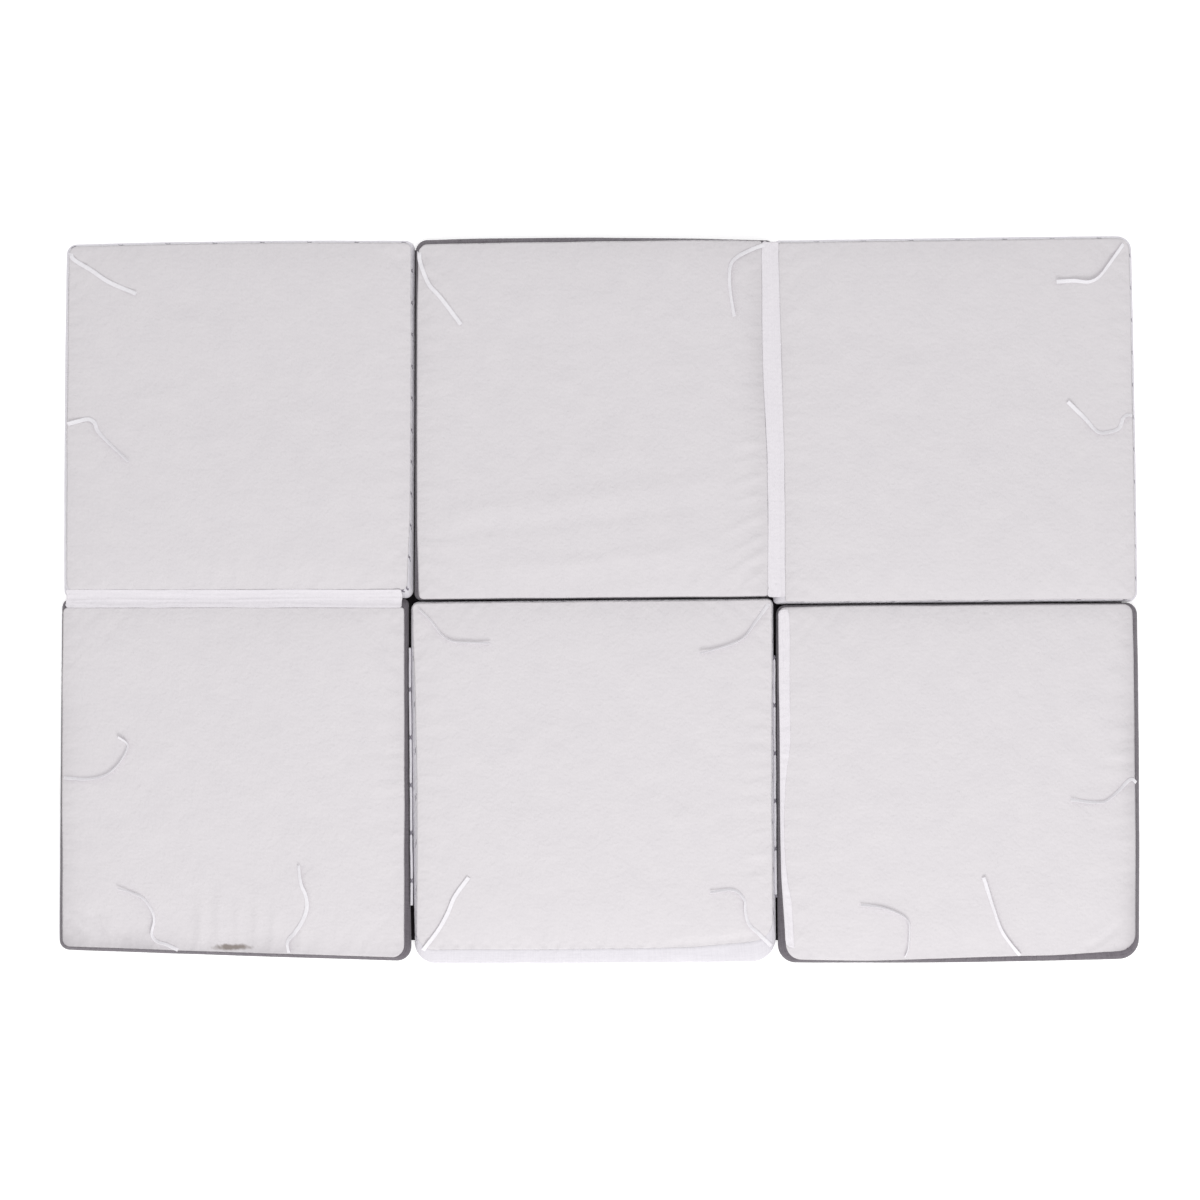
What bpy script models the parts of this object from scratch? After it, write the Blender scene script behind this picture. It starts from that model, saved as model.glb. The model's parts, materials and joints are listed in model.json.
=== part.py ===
"""Baby play mat: six filled square pads in three columns and two rows, lying face down.

Metres, +Z up, the mat's length along X. The origin is on the floor under the middle of the mat.
Each pad is one filled solid with a flat underside and a crowned back. A side band goes round it and
a white cotton back panel lies over it. Two white hinge strips lie over the valleys between pads 1 and 4
and pads 2 and 3, a third white strip lies along the left seam of pad 6, two print-cloth strips stand
folded between pads 4, 5 and 6, and sixteen tape ties are sewn into the edge seams. Pads 1 to 3 are the
upper row and pads 4 to 6 the lower row, from the left.
"""

import math
from collections import namedtuple

import bpy
import numpy as np
from mathutils import Vector
from mathutils.bvhtree import BVHTree

MM = 0.001

# Heights above the floor.
FRONT_SEAM_Z = 3.0 * MM
LOWER_SIDE_Z = 8.5 * MM
BULGE_Z = 16.0 * MM
UPPER_SIDE_Z = 23.5 * MM
BACK_SEAM_Z = 31.0 * MM

# Cloth and the clear gaps between pieces.
BAND_THICK = 1.4 * MM
PANEL_THICK = 1.3 * MM
PANEL_EDGE_THICK = 0.9 * MM
PANEL_EDGE_INSET = 0.2 * MM
STRIP_THICK = 1.2 * MM
CLEAR = 0.35 * MM
BAND_TO_FILLING = 0.6 * MM

# A pad's outline: corner radii, the front seam's inset, and where the flat underside starts.
BULGE_RADIUS = 18.0 * MM
SEAM_RADIUS = 14.0 * MM
FRONT_SEAM_INSET = 6.0 * MM
UNDERSIDE_INSET = 15.0 * MM
ARC_STEPS = 4
SIDE_POINTS = 3

# How the side rises: shares of the way from the widest outline to the seam.
LOWER_SIDE_SHARE = 0.28
UPPER_SIDE_SHARE = 0.33

# The crowned back: each ring's distance inside the seam, corner radius, share of the crown and of the bow.
Ring = namedtuple("Ring", "inside radius crown_share bow_share")
CROWN_RINGS = (
    Ring(25.0 * MM, 34.0 * MM, 0.55, 1.0),
    Ring(110.0 * MM, 90.0 * MM, 0.93, 0.5),
)

# Each pad in millimetres. Corners are those of its widest outline and sides start with the lower one,
# both anticlockwise from the lower left. Seams are how far the back seam lies inside each side, and
# bows are how far each side bows out at its middle.
Pad = namedtuple("Pad", "number cloth corners seams bows crown")
PADS = (
    Pad(1, "print", ((-896.5, 2.8), (-311.1, 2.8), (-311.1, 599.5), (-893.0, 591.0)),
        (14.0, 6.0, 5.0, 4.0), (0.0, 0.0, 3.0, 1.0), 8.5),
    Pad(2, "charcoal", ((-310.5, -2.2), (288.8, 4.5), (288.8, 600.0), (-310.5, 595.5)),
        (4.0, 17.3, 8.0, 4.0), (0.0, 0.0, 4.0, 0.0), 9.0),
    Pad(3, "print", ((289.4, -5.5), (896.0, -5.5), (884.0, 604.45), (289.4, 597.5)),
        (6.0, 4.0, 5.0, 17.2), (0.0, 3.0, 2.0, 0.0), 8.0),
    Pad(4, "charcoal", ((-898.0, -581.0), (-319.3, -597.5), (-319.9, 2.2), (-901.0, 2.2)),
        (4.0, 11.0, 14.0, 5.0), (4.0, 0.0, 0.0, 0.5), 8.5),
    Pad(5, "print", ((-312.5, -602.5), (290.9, -602.0), (289.9, 3.9), (-313.1, -2.8)),
        (16.0, 3.5, 5.0, 3.5), (2.0, 0.0, 0.0, 0.0), 9.0),
    Pad(6, "charcoal", ((297.7, -603.0), (900.0, -590.0), (899.0, -6.1), (296.7, -6.1)),
        (4.0, 7.0, 5.0, 6.0), (3.0, 1.5, 0.0, 0.0), 8.5),
)

# White hinge strips over a valley: a flat strip that sags between two back seams.
Hinge = namedtuple("Hinge", "name start end half_width sag")
HINGES = (
    Hinge("hinge_1_4", (-893.0, 2.5), (-334.0, 2.5), 13.6, 3.0),
    Hinge("hinge_2_3", (289.05, 6.5), (289.05, 596.0), 16.8, 4.0),
)
HINGE_STATIONS = 9
HINGE_SECTION_POINTS = 7
# The sag varies by this share of itself along the strip, as a wave that turns so far at each station.
SAG_VARIES = 0.12
STATION_TURN = 2.1

# The white strip that lies flat on the back of pad 6, along its left seam, from its upper to its lower end.
EdgeStrip = namedtuple("EdgeStrip", "name start end half_width")
EDGE_STRIP = EdgeStrip("edge_strip_6", (313.0, -27.0), (318.5, -570.0), 9.6)
EDGE_STRIP_STATIONS = 29
EDGE_STRIP_POINTS = 5
EDGE_STRIP_CLEAR = 0.6 * MM

# Print-cloth strips between two pads: folded double, standing on edge with the fold upwards.
Fold = namedtuple("Fold", "name start end top wave")
FOLDS = (
    Fold("joining_strip_4_5", (-315.99, -511.0), (-316.42, -80.0), 24.0, 0.8),
    Fold("joining_strip_5_6", (294.13, -498.0), (293.45, -93.0), 25.0, 1.0),
)
FOLD_HALF_WIDTH = 3.05 * MM
FOLD_BOTTOM_Z = 4.0 * MM
FOLD_STATIONS = 8
FOLD_ARC_STEPS = 4

# Tape ties: the routes of their middle lines from the sewn end to the free end, in millimetres.
TAPE_WIDTH = 7.0 * MM
TAPE_THICK = 1.0 * MM
TAPE_POINTS = 11
ROUTE_STEPS = 12
# The tape clears the highest cloth within this reach, found at points on rings round each station.
TAPE_REACH = 8.5 * MM
PROBE_RINGS = 3
PROBE_STEPS = 12
PROBE_FROM_Z = 1.0
TIES = (
    ((-886, 581), (-880, 569), (-851, 551), (-821, 531), (-775, 511)),
    ((-891, 294), (-871, 299), (-856, 302), (-845, 296), (-835, 277), (-788, 231)),
    ((-303, 583), (-301, 563), (-287, 528), (-267, 505), (-233, 460)),
    ((275, 594), (253, 586), (226, 571), (216, 554), (216, 520), (223, 473)),
    ((874, 595), (851, 563), (833, 540), (815, 531), (789, 533), (761, 531)),
    ((889, 309), (880, 309), (873, 303), (865, 286), (841, 279), (827, 283), (808, 304), (780, 331)),
    ((-897, -297), (-856, -299), (-826, -292), (-805, -274), (-791, -251), (-791, -239), (-805, -229)),
    ((-706, -585), (-724, -576), (-741, -570), (-749, -558), (-745, -536), (-748, -520), (-763, -498),
     (-783, -488), (-805, -481)),
    ((-521, -590), (-523, -571), (-510, -555), (-497, -535), (-490, -513), (-492, -493), (-500, -473),
     (-504, -443)),
    ((-305, -13), (-283, -35), (-265, -58), (-246, -69), (-216, -71), (-184, -72)),
    ((281, -6), (275, -15), (255, -42), (240, -62), (215, -75), (166, -89)),
    ((-297, -586), (-272, -553), (-256, -525), (-243, -495), (-220, -463)),
    ((286, -579), (265, -558), (248, -541), (242, -520), (240, -500), (221, -484), (183, -488)),
    ((896, -305), (885, -300), (865, -319), (848, -333), (836, -338), (813, -337), (785, -333)),
    ((509, -597), (514, -582), (516, -551), (512, -533), (490, -520), (464, -512), (434, -509)),
    ((701, -594), (686, -576), (669, -551), (656, -516), (644, -478), (639, -463)),
)

# Finishes: sRGB colour and roughness.
FINISHES = {
    "white_cotton": ("E4E3E6", 0.85),
    "hinge_cotton": ("ECEAEE", 0.85),
    "tape_cotton": ("F2F0F4", 0.8),
    "charcoal": ("5F5960", 0.9),
    "print": ("DFDCE2", 0.85),
}


def clear_scene():
    for thing in list(bpy.data.objects):
        bpy.data.objects.remove(thing, do_unlink=True)


def linear(channel):
    """One sRGB channel, 0 to 1, as a linear one."""
    return channel / 12.92 if channel <= 0.04045 else ((channel + 0.055) / 1.055) ** 2.4


def finish(node_name, key):
    """A material of its own for one node."""
    hexes, roughness = FINISHES[key]
    colour = [linear(int(hexes[i:i + 2], 16) / 255) for i in (0, 2, 4)]
    material = bpy.data.materials.new(f"{key}_{node_name}")
    material.use_nodes = True
    shader = material.node_tree.nodes["Principled BSDF"]
    shader.inputs["Base Color"].default_value = (*colour, 1.0)
    shader.inputs["Roughness"].default_value = roughness
    shader.inputs["Metallic"].default_value = 0.0
    material.diffuse_color = (*colour, 1.0)
    return material


def outline(pad, insets, radius, bow_share=1.0):
    """Points round a pad, anticlockwise: each side moved in by its inset and bowed out, the corners as arcs."""
    corners = np.array(pad.corners) * MM
    along = np.roll(corners, -1, axis=0) - corners
    along /= np.linalg.norm(along, axis=1)[:, None]
    inward = np.stack([-along[:, 1], along[:, 0]], axis=1)
    on_side = corners + inward * np.array(insets)[:, None]
    arcs = []
    for side in range(4):
        before = side - 1
        solved = np.linalg.solve(
            np.stack([along[before], -along[side]], axis=1), on_side[side] - on_side[before]
        )
        corner = on_side[before] + along[before] * solved[0]
        turn = math.acos(float(along[before] @ along[side]))
        bisector = along[side] - along[before]
        bisector /= np.linalg.norm(bisector)
        centre = corner + bisector * radius / math.cos(turn / 2)
        first = math.atan2(-inward[before][1], -inward[before][0])
        angles = first + turn * np.linspace(0.0, 1.0, ARC_STEPS + 1)
        arcs.append(centre + radius * np.stack([np.cos(angles), np.sin(angles)], axis=1))
    points = []
    for side in range(4):
        start = arcs[side][-1]
        end = arcs[(side + 1) % 4][0]
        share = np.arange(1, SIDE_POINTS + 1)[:, None] / (SIDE_POINTS + 1)
        bow = pad.bows[side] * MM * bow_share * (1.0 - (2.0 * share - 1.0) ** 2)
        points.append(arcs[side])
        points.append(start + (end - start) * share - inward[side] * bow)
    return np.concatenate(points)


def at_height(flat, z):
    """A ring of points at one height."""
    return np.column_stack([flat, np.full(len(flat), z)])


def lofted(name, rings, key, caps):
    """One closed solid through rings of as many points each. Caps are the two end points of fans,
    "flat" for end faces, or None where the last ring joins the first."""
    count = len(rings[0])
    points = [tuple(point) for ring in rings for point in ring]
    faces = []
    levels = len(rings) if caps is None else len(rings) - 1
    for level in range(levels):
        low = level * count
        high = (level + 1) % len(rings) * count
        for i in range(count):
            j = (i + 1) % count
            faces.append((low + i, low + j, high + j))
            faces.append((low + i, high + j, high + i))
    last = (len(rings) - 1) * count
    if caps == "flat":
        faces.append(tuple(reversed(range(count))))
        faces.append(tuple(range(last, last + count)))
    elif caps is not None:
        points += [tuple(cap) for cap in caps]
        for i in range(count):
            j = (i + 1) % count
            faces.append((len(points) - 2, j, i))
            faces.append((len(points) - 1, last + i, last + j))
    mesh = bpy.data.meshes.new(name)
    mesh.from_pydata(points, [], faces)
    mesh.materials.append(finish(name, key))
    mesh.shade_smooth()
    mesh.set_sharp_from_angle(angle=math.radians(40))
    thing = bpy.data.objects.new(name, mesh)
    bpy.context.collection.objects.link(thing)
    return BVHTree.FromPolygons(points, faces)


def insets_of(pad, more=0.0):
    """The back seam's four insets, and more."""
    return [seam * MM + more for seam in pad.seams]


def side_rings(pad, inside):
    """The side from the front seam up to the back seam, moved in by a distance."""
    widest = outline(pad, [inside] * 4, BULGE_RADIUS)
    front = outline(pad, [FRONT_SEAM_INSET + inside] * 4, BULGE_RADIUS)
    back = outline(pad, insets_of(pad, inside), SEAM_RADIUS)
    return [
        at_height(front, FRONT_SEAM_Z),
        at_height(widest + (front - widest) * LOWER_SIDE_SHARE, LOWER_SIDE_Z),
        at_height(widest, BULGE_Z),
        at_height(widest + (back - widest) * UPPER_SIDE_SHARE, UPPER_SIDE_Z),
        at_height(back, BACK_SEAM_Z),
    ]


def crown_rings(pad, lift):
    """The rings of the crowned back from the outer to the inner one, and the middle point."""
    rings = []
    for ring in CROWN_RINGS:
        flat = outline(pad, insets_of(pad, ring.inside), ring.radius, ring.bow_share)
        rings.append(at_height(flat, BACK_SEAM_Z + pad.crown * MM * ring.crown_share + lift))
    middle = (*rings[-1][:, :2].mean(axis=0), BACK_SEAM_Z + pad.crown * MM + lift)
    return rings, middle


def make_pad(pad):
    """The filled solid with its front panel: a flat underside, full sides and a crowned back."""
    flat = at_height(outline(pad, [UNDERSIDE_INSET] * 4, BULGE_RADIUS), 0.0)
    top, middle = crown_rings(pad, 0.0)
    rings = [flat, *side_rings(pad, BAND_THICK + BAND_TO_FILLING), *top]
    under = (*flat[:, :2].mean(axis=0), 0.0)
    lofted(f"pad_{pad.number}", rings, pad.cloth, (under, middle))


def make_band(pad):
    """The side band: a ring of cloth from the front seam to the back seam."""
    rings = side_rings(pad, 0.0) + side_rings(pad, BAND_THICK)[::-1]
    return lofted(f"band_{pad.number}", rings, pad.cloth, None)


def make_back(pad):
    """The white back panel, from seam to seam over the crown."""
    edge = outline(pad, insets_of(pad, PANEL_EDGE_INSET), SEAM_RADIUS)
    below, below_middle = crown_rings(pad, CLEAR)
    above, above_middle = crown_rings(pad, CLEAR + PANEL_THICK)
    low_edge = at_height(edge, BACK_SEAM_Z + CLEAR)
    high_edge = at_height(edge, BACK_SEAM_Z + CLEAR + PANEL_EDGE_THICK)
    rings = [*below[::-1], low_edge, high_edge, *above]
    return lofted(f"back_{pad.number}", rings, "white_cotton", (below_middle, above_middle))


def swept(name, route, section_at, key):
    """A solid whose section, in distances to the left of the route and heights, changes along it."""
    route = np.asarray(route)
    ahead = np.gradient(route[:, :2], axis=0)
    ahead /= np.linalg.norm(ahead, axis=1)[:, None]
    rings = []
    for i, point in enumerate(route):
        section = np.asarray(section_at(i))
        left = np.array([-ahead[i][1], ahead[i][0], 0.0])
        rings.append(point + section[:, :1] * left + section[:, 1:] * np.array([0.0, 0.0, 1.0]))
    return lofted(name, rings, key, "flat")


def straight(start, end, stations):
    """Points along a straight line on the floor, from two ends in millimetres."""
    share = np.linspace(0.0, 1.0, stations)[:, None]
    flat = (np.array(start) + (np.array(end) - np.array(start)) * share) * MM
    return np.column_stack([flat, np.zeros(stations)])


def make_hinge(hinge):
    """A hinge strip: its section sags as a shallow parabola between the two seams."""
    across = np.linspace(-1.0, 1.0, HINGE_SECTION_POINTS)
    half_width = hinge.half_width * MM

    def section_at(station):
        sag = hinge.sag * MM * (1.0 + SAG_VARIES * math.sin(STATION_TURN * station))
        below = BACK_SEAM_Z + CLEAR - sag * (1.0 - across**2)
        under = np.column_stack([across * half_width, below])
        over = np.column_stack([across * half_width, below + STRIP_THICK])
        # The route's left is the section's first axis, so under and then back over is anticlockwise.
        return np.concatenate([under, over[::-1]])

    route = straight(hinge.start, hinge.end, HINGE_STATIONS)
    return swept(hinge.name, route, section_at, "hinge_cotton")


def make_edge_strip(strip, trees):
    """A flat strip that follows the cloth under it."""
    route = straight(strip.start, strip.end, EDGE_STRIP_STATIONS)
    ahead = (route[-1] - route[0]) / np.linalg.norm(route[-1] - route[0])
    left = np.array([-ahead[1], ahead[0]])
    across = np.linspace(-1.0, 1.0, EDGE_STRIP_POINTS) * strip.half_width * MM

    def section_at(station):
        places = route[station][:2] + across[:, None] * left
        below = np.array([cloth_below(trees, x, y) for x, y in places]) + EDGE_STRIP_CLEAR
        under = np.column_stack([across, below])
        over = np.column_stack([across, below + STRIP_THICK])
        return np.concatenate([under, over[::-1]])

    return swept(strip.name, route, section_at, "hinge_cotton")


def make_fold(fold):
    """A joining strip folded double: two legs and a round fold on top, its height slightly uneven."""
    angles = np.linspace(0.0, math.pi, FOLD_ARC_STEPS + 1)

    def arch(radius, top):
        return np.column_stack([radius * np.cos(angles), top + radius * np.sin(angles)])

    def section_at(station):
        spring = fold.top * MM - FOLD_HALF_WIDTH + fold.wave * MM * math.sin(STATION_TURN * station)
        outer = arch(FOLD_HALF_WIDTH, spring)
        inner = arch(FOLD_HALF_WIDTH - STRIP_THICK, spring)[::-1]
        right_foot = [[FOLD_HALF_WIDTH, FOLD_BOTTOM_Z]]
        left_foot = [[-FOLD_HALF_WIDTH, FOLD_BOTTOM_Z]]
        inner_left = [[STRIP_THICK - FOLD_HALF_WIDTH, FOLD_BOTTOM_Z]]
        inner_right = [[FOLD_HALF_WIDTH - STRIP_THICK, FOLD_BOTTOM_Z]]
        return np.concatenate([right_foot, outer, left_foot, inner_left, inner, inner_right])

    return swept(fold.name, straight(fold.start, fold.end, FOLD_STATIONS), section_at, "print")


def smooth_route(points, count):
    """A smooth curve through the points of a route, read at even distances along it."""
    known = np.array(points, float)
    ends = np.concatenate([[2 * known[0] - known[1]], known, [2 * known[-1] - known[-2]]])
    pieces = []
    for i in range(1, len(ends) - 2):
        t = np.linspace(0.0, 1.0, ROUTE_STEPS, endpoint=False)[:, None]
        a, b, c, d = ends[i - 1:i + 3]
        pieces.append(
            0.5 * (2 * b + (c - a) * t + (2 * a - 5 * b + 4 * c - d) * t**2 + (3 * b - a - 3 * c + d) * t**3)
        )
    fine = np.concatenate([*pieces, known[-1:]])
    run = np.concatenate([[0.0], np.cumsum(np.linalg.norm(np.diff(fine, axis=0), axis=1))])
    at = np.linspace(0.0, run[-1], count)
    return np.column_stack([np.interp(at, run, fine[:, 0]), np.interp(at, run, fine[:, 1])])


def cloth_below(trees, x, y):
    """The height of the highest cloth straight below a point, or the floor's."""
    origin = Vector((x, y, PROBE_FROM_Z))
    hits = [tree.ray_cast(origin, Vector((0.0, 0.0, -1.0)))[0] for tree in trees]
    return max((hit.z for hit in hits if hit is not None), default=0.0)


def height_under(trees, x, y):
    """The highest cloth under a small disc round a point."""
    found = []
    for ring in range(PROBE_RINGS + 1):
        reach = TAPE_REACH * ring / PROBE_RINGS
        for step in range(PROBE_STEPS):
            angle = math.tau * step / PROBE_STEPS
            found.append(cloth_below(trees, x + reach * math.cos(angle), y + reach * math.sin(angle)))
    return max(found)


def make_tie(number, points, trees):
    """A flat tape laid on the cloth along its route."""
    flat = smooth_route(np.array(points, float) * MM, TAPE_POINTS)
    heights = [height_under(trees, x, y) + CLEAR + TAPE_THICK / 2 for x, y in flat]
    w = TAPE_WIDTH / 2
    h = TAPE_THICK / 2
    section = ((-w, -h), (w, -h), (w, h), (-w, h))
    swept(f"tie_{number:02d}", np.column_stack([flat, heights]), lambda station: section, "tape_cotton")


def main():
    clear_scene()
    trees = []
    for pad in PADS:
        make_pad(pad)
        trees.append(make_band(pad))
        trees.append(make_back(pad))
    for hinge in HINGES:
        trees.append(make_hinge(hinge))
    trees.append(make_edge_strip(EDGE_STRIP, trees))
    for fold in FOLDS:
        make_fold(fold)
    for number, points in enumerate(TIES, 1):
        make_tie(number, points, trees)


main()
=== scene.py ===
"""Baby play mat: its finished cloth, tape ties, floor, light and camera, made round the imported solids.

Metres, +Z up, the mat's length along X, the origin on the floor under the middle of the mat. The mat lies
face down. Each of its six pads is a filled form with a front panel, a side band of charcoal or print cloth,
and a white calico back panel sewn to the band. White strips cover two valleys and one seam, two print-cloth
strips stand folded between pads, and sixteen tape ties lie where they fell.
"""

import json
import math
from collections import namedtuple
from functools import lru_cache

import bpy
import numpy as np
from bpy.props import FloatProperty, FloatVectorProperty, PointerProperty
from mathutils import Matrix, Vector

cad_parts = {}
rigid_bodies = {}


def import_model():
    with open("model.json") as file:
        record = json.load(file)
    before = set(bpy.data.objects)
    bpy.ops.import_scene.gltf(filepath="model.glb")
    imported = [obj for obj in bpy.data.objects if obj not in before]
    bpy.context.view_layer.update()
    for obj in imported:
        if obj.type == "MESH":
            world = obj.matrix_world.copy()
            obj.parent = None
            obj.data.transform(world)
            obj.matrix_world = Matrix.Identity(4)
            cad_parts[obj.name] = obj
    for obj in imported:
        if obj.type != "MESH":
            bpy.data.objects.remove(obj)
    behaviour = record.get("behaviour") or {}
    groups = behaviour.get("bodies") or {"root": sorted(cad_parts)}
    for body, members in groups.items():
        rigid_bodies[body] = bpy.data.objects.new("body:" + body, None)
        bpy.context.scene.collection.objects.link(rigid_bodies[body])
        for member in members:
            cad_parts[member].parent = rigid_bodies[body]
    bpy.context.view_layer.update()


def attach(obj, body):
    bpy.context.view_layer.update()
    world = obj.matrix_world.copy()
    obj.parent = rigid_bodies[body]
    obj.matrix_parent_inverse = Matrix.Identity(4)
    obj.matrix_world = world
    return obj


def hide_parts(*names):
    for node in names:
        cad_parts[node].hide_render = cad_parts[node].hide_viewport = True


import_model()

bl_info = {
    "name": "Baby Play Mat",
    "version": (1, 0, 0),
    "blender": (4, 5, 0),
    "location": "View3D > Sidebar > Play Mat",
    "description": "Makes a padded baby play mat of six pads, lying face down, with its tape ties",
    "category": "Add Mesh",
}

MM = 0.001

# Heights above the floor.
FRONT_SEAM_Z = 3.0 * MM
BULGE_Z = 16.0 * MM
BACK_SEAM_Z = 31.0 * MM

# A pad's outline: the front seam's inset, and where the flat underside starts.
FRONT_SEAM_INSET = 6.0 * MM
UNDERSIDE_INSET = 15.0 * MM

# Each pad in millimetres. Corners are those of its widest outline and sides start with the lower one,
# both anticlockwise from the lower left. Seams are how far the back seam lies inside each side, at even
# steps along it, and bows are how far each side bows out at its middle. Gathers are the heights of the
# puckers along each seam. The through values are painted shade along each side of the back panel, partly
# the dark seam allowance showing through it, at even steps again, and reach says how far in it goes.
Pad = namedtuple("Pad", "number cloth corners radii seams bows crown gathers through reach")
PADS = (
    Pad(1, "print", ((-898.9, 2.8), (-313.5, 2.8), (-310.8, 602.4), (-894.4, 595.9)), (14, 14, 16, 17),
        ((14.0,), (9.5, 5.5, 5.0, 5.0, 5.0, 5.5), (5.0,), (6.2,)), (0.0, 0.5, 2.5, 1.5), 8.5,
        (0.35, 0.35, 0.35, 0.30), ((0.02,), (0.015,), (0.0,), (0.03,)), 12.0),
    Pad(2, "charcoal", ((-311.8, -1.0), (288.8, 4.2), (288.8, 602.7), (-309.6, 603.8)), (12, 8, 10, 20),
        ((2.3,), (8.3, 7.8, 9.3, 15.0, 17.8, 18.3), (1.8, 3.6, 7.4, 8.8, 9.0, 8.6),
         (5.0, 3.4, 3.3, 4.2, 4.6, 7.8)), (0.0, 0.0, 4.2, 0.0), 9.0,
        (0.30, 0.55, 0.45, 0.40), ((0.02,), (0.04, 0.05, 0.07, 0.17, 0.19, 0.08), (0.04, 0.02, 0.01, 0.02),
                                   (0.04,)), 22.0),
    Pad(3, "print", ((289.4, -7.2), (900.2, -2.6), (889.4, 610.3), (289.4, 602.6)), (8, 16, 24, 10),
        ((4.0,), (5.6,), (5.3,), (7.1, 10.1, 13.4, 17.6, 18.4, 18.6)), (0.0, 1.0, 0.5, 0.0), 8.0,
        (0.35, 0.35, 0.35, 0.35), ((0.0,), (0.03,), (0.0,), (0.03,)), 12.0),
    Pad(4, "charcoal", ((-906.8, -585.9), (-316.8, -605.3), (-321.2, 2.2), (-902.0, 2.2)), (17, 24, 10, 14),
        ((7.1,), (11.0, 8.8, 7.6, 6.8, 6.6, 6.8), (14.0,), (3.2, 3.4, 4.0, 5.0, 6.4, 7.0)),
        (0.5, -1.6, 0.0, 0.3), 8.5,
        (0.60, 0.35, 0.25, 0.35), ((0.27, 0.26, 0.22, 0.17), (0.05,), (0.0,), (0.10, 0.12, 0.14)), 20.0),
    Pad(5, "print", ((-310.8, -609.0), (294.3, -606.2), (289.2, 3.2), (-317.6, -2.8)), (35, 41, 12, 14),
        ((24.0, 24.5, 24.5, 25.5, 26.0, 35.0), (5.0, 5.2, 5.0, 4.6, 3.0, 2.6), (2.3,),
         (3.0, 5.3, 7.2, 7.6, 6.2, 3.5)),
        (1.0, 0.0, 0.0, 1.1), 9.0,
        (0.40, 0.55, 0.30, 0.40), ((0.04, 0.04, 0.02, 0.03), (0.0,), (0.0,), (0.02,)), 10.0),
    Pad(6, "charcoal", ((297.3, -608.0), (903.0, -601.4), (899.3, -3.8), (294.0, -8.4)), (30, 34, 20, 16),
        ((6.4, 4.4, 7.6, 9.6, 10.6, 14.6), (8.0, 8.0, 8.6, 9.4, 9.0, 10.0), (2.7, 2.6, 2.6, 2.6, 2.6, 4.2),
         (2.9, 3.8, 4.4, 4.2, 5.6, 13.0)), (2.5, 1.8, 0.0, 0.3), 8.5,
        (0.35, 0.60, 0.45, 0.35), ((0.05, 0.06), (0.22, 0.20, 0.21), (0.07, 0.05, 0.05), (0.0,)), 17.0),
)
SEAM_RADIUS_LESS = 4.0

# Faint rumples that are finer than the surfaces' cells: size and height in millimetres.
RUMPLES = ((9.0, 1.1), (4.5, 0.34))

# Cells along one side of a pad, and the steps of the finer lines that they are read from.
GRID = 180
ARC_HALF_STEPS = 10
SIDE_STEPS = 60
BAND_ROWS = 16
PAD_EVERY = 2

# The crown: a quick lip just inside the seam and a slow swell towards the middle.
LIP_SHARE = 0.22
LIP_REACH = 8.0 * MM
SWELL_REACH = 44.0 * MM

# The cloth simulation: every third grid line is a cloth line, the panel starts with this share of its crown,
# and its cloth is this much too large.
CLOTH_EVERY = 3
CLOTH_START = 0.55
CLOTH_SPARE = 0.004
CLOTH_PRESSURE = 4.0
CLOTH_FRAMES = 20

# Raw edges are turned in by the allowance and down by this share of it. A panel is cut larger than its seams.
SEAM_ALLOWANCE = 1.3 * MM
TURNED_DOWN = 0.8
PANEL_SPARE = 10.0 * MM

# The filled pad under its cloth: how far below the panel and inside the band, how far its back draws in for
# that, the heights of its sides' rings, and how far its flat underside clears the floor.
BACK_OVER_FILLING = 2.2 * MM
BAND_OVER_FILLING = 2.0 * MM
DRAWN_IN = 1.4
FILLING_RINGS_Z = (24.0 * MM, 16.0 * MM, 9.0 * MM)
REST_Z = 0.05 * MM

# Relief is full this far inside a seam, and a band's puckers push it out by no more than this.
RELIEF_REACH = 4.0 * MM
MOST_PUSHED = 0.1 * MM
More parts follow.
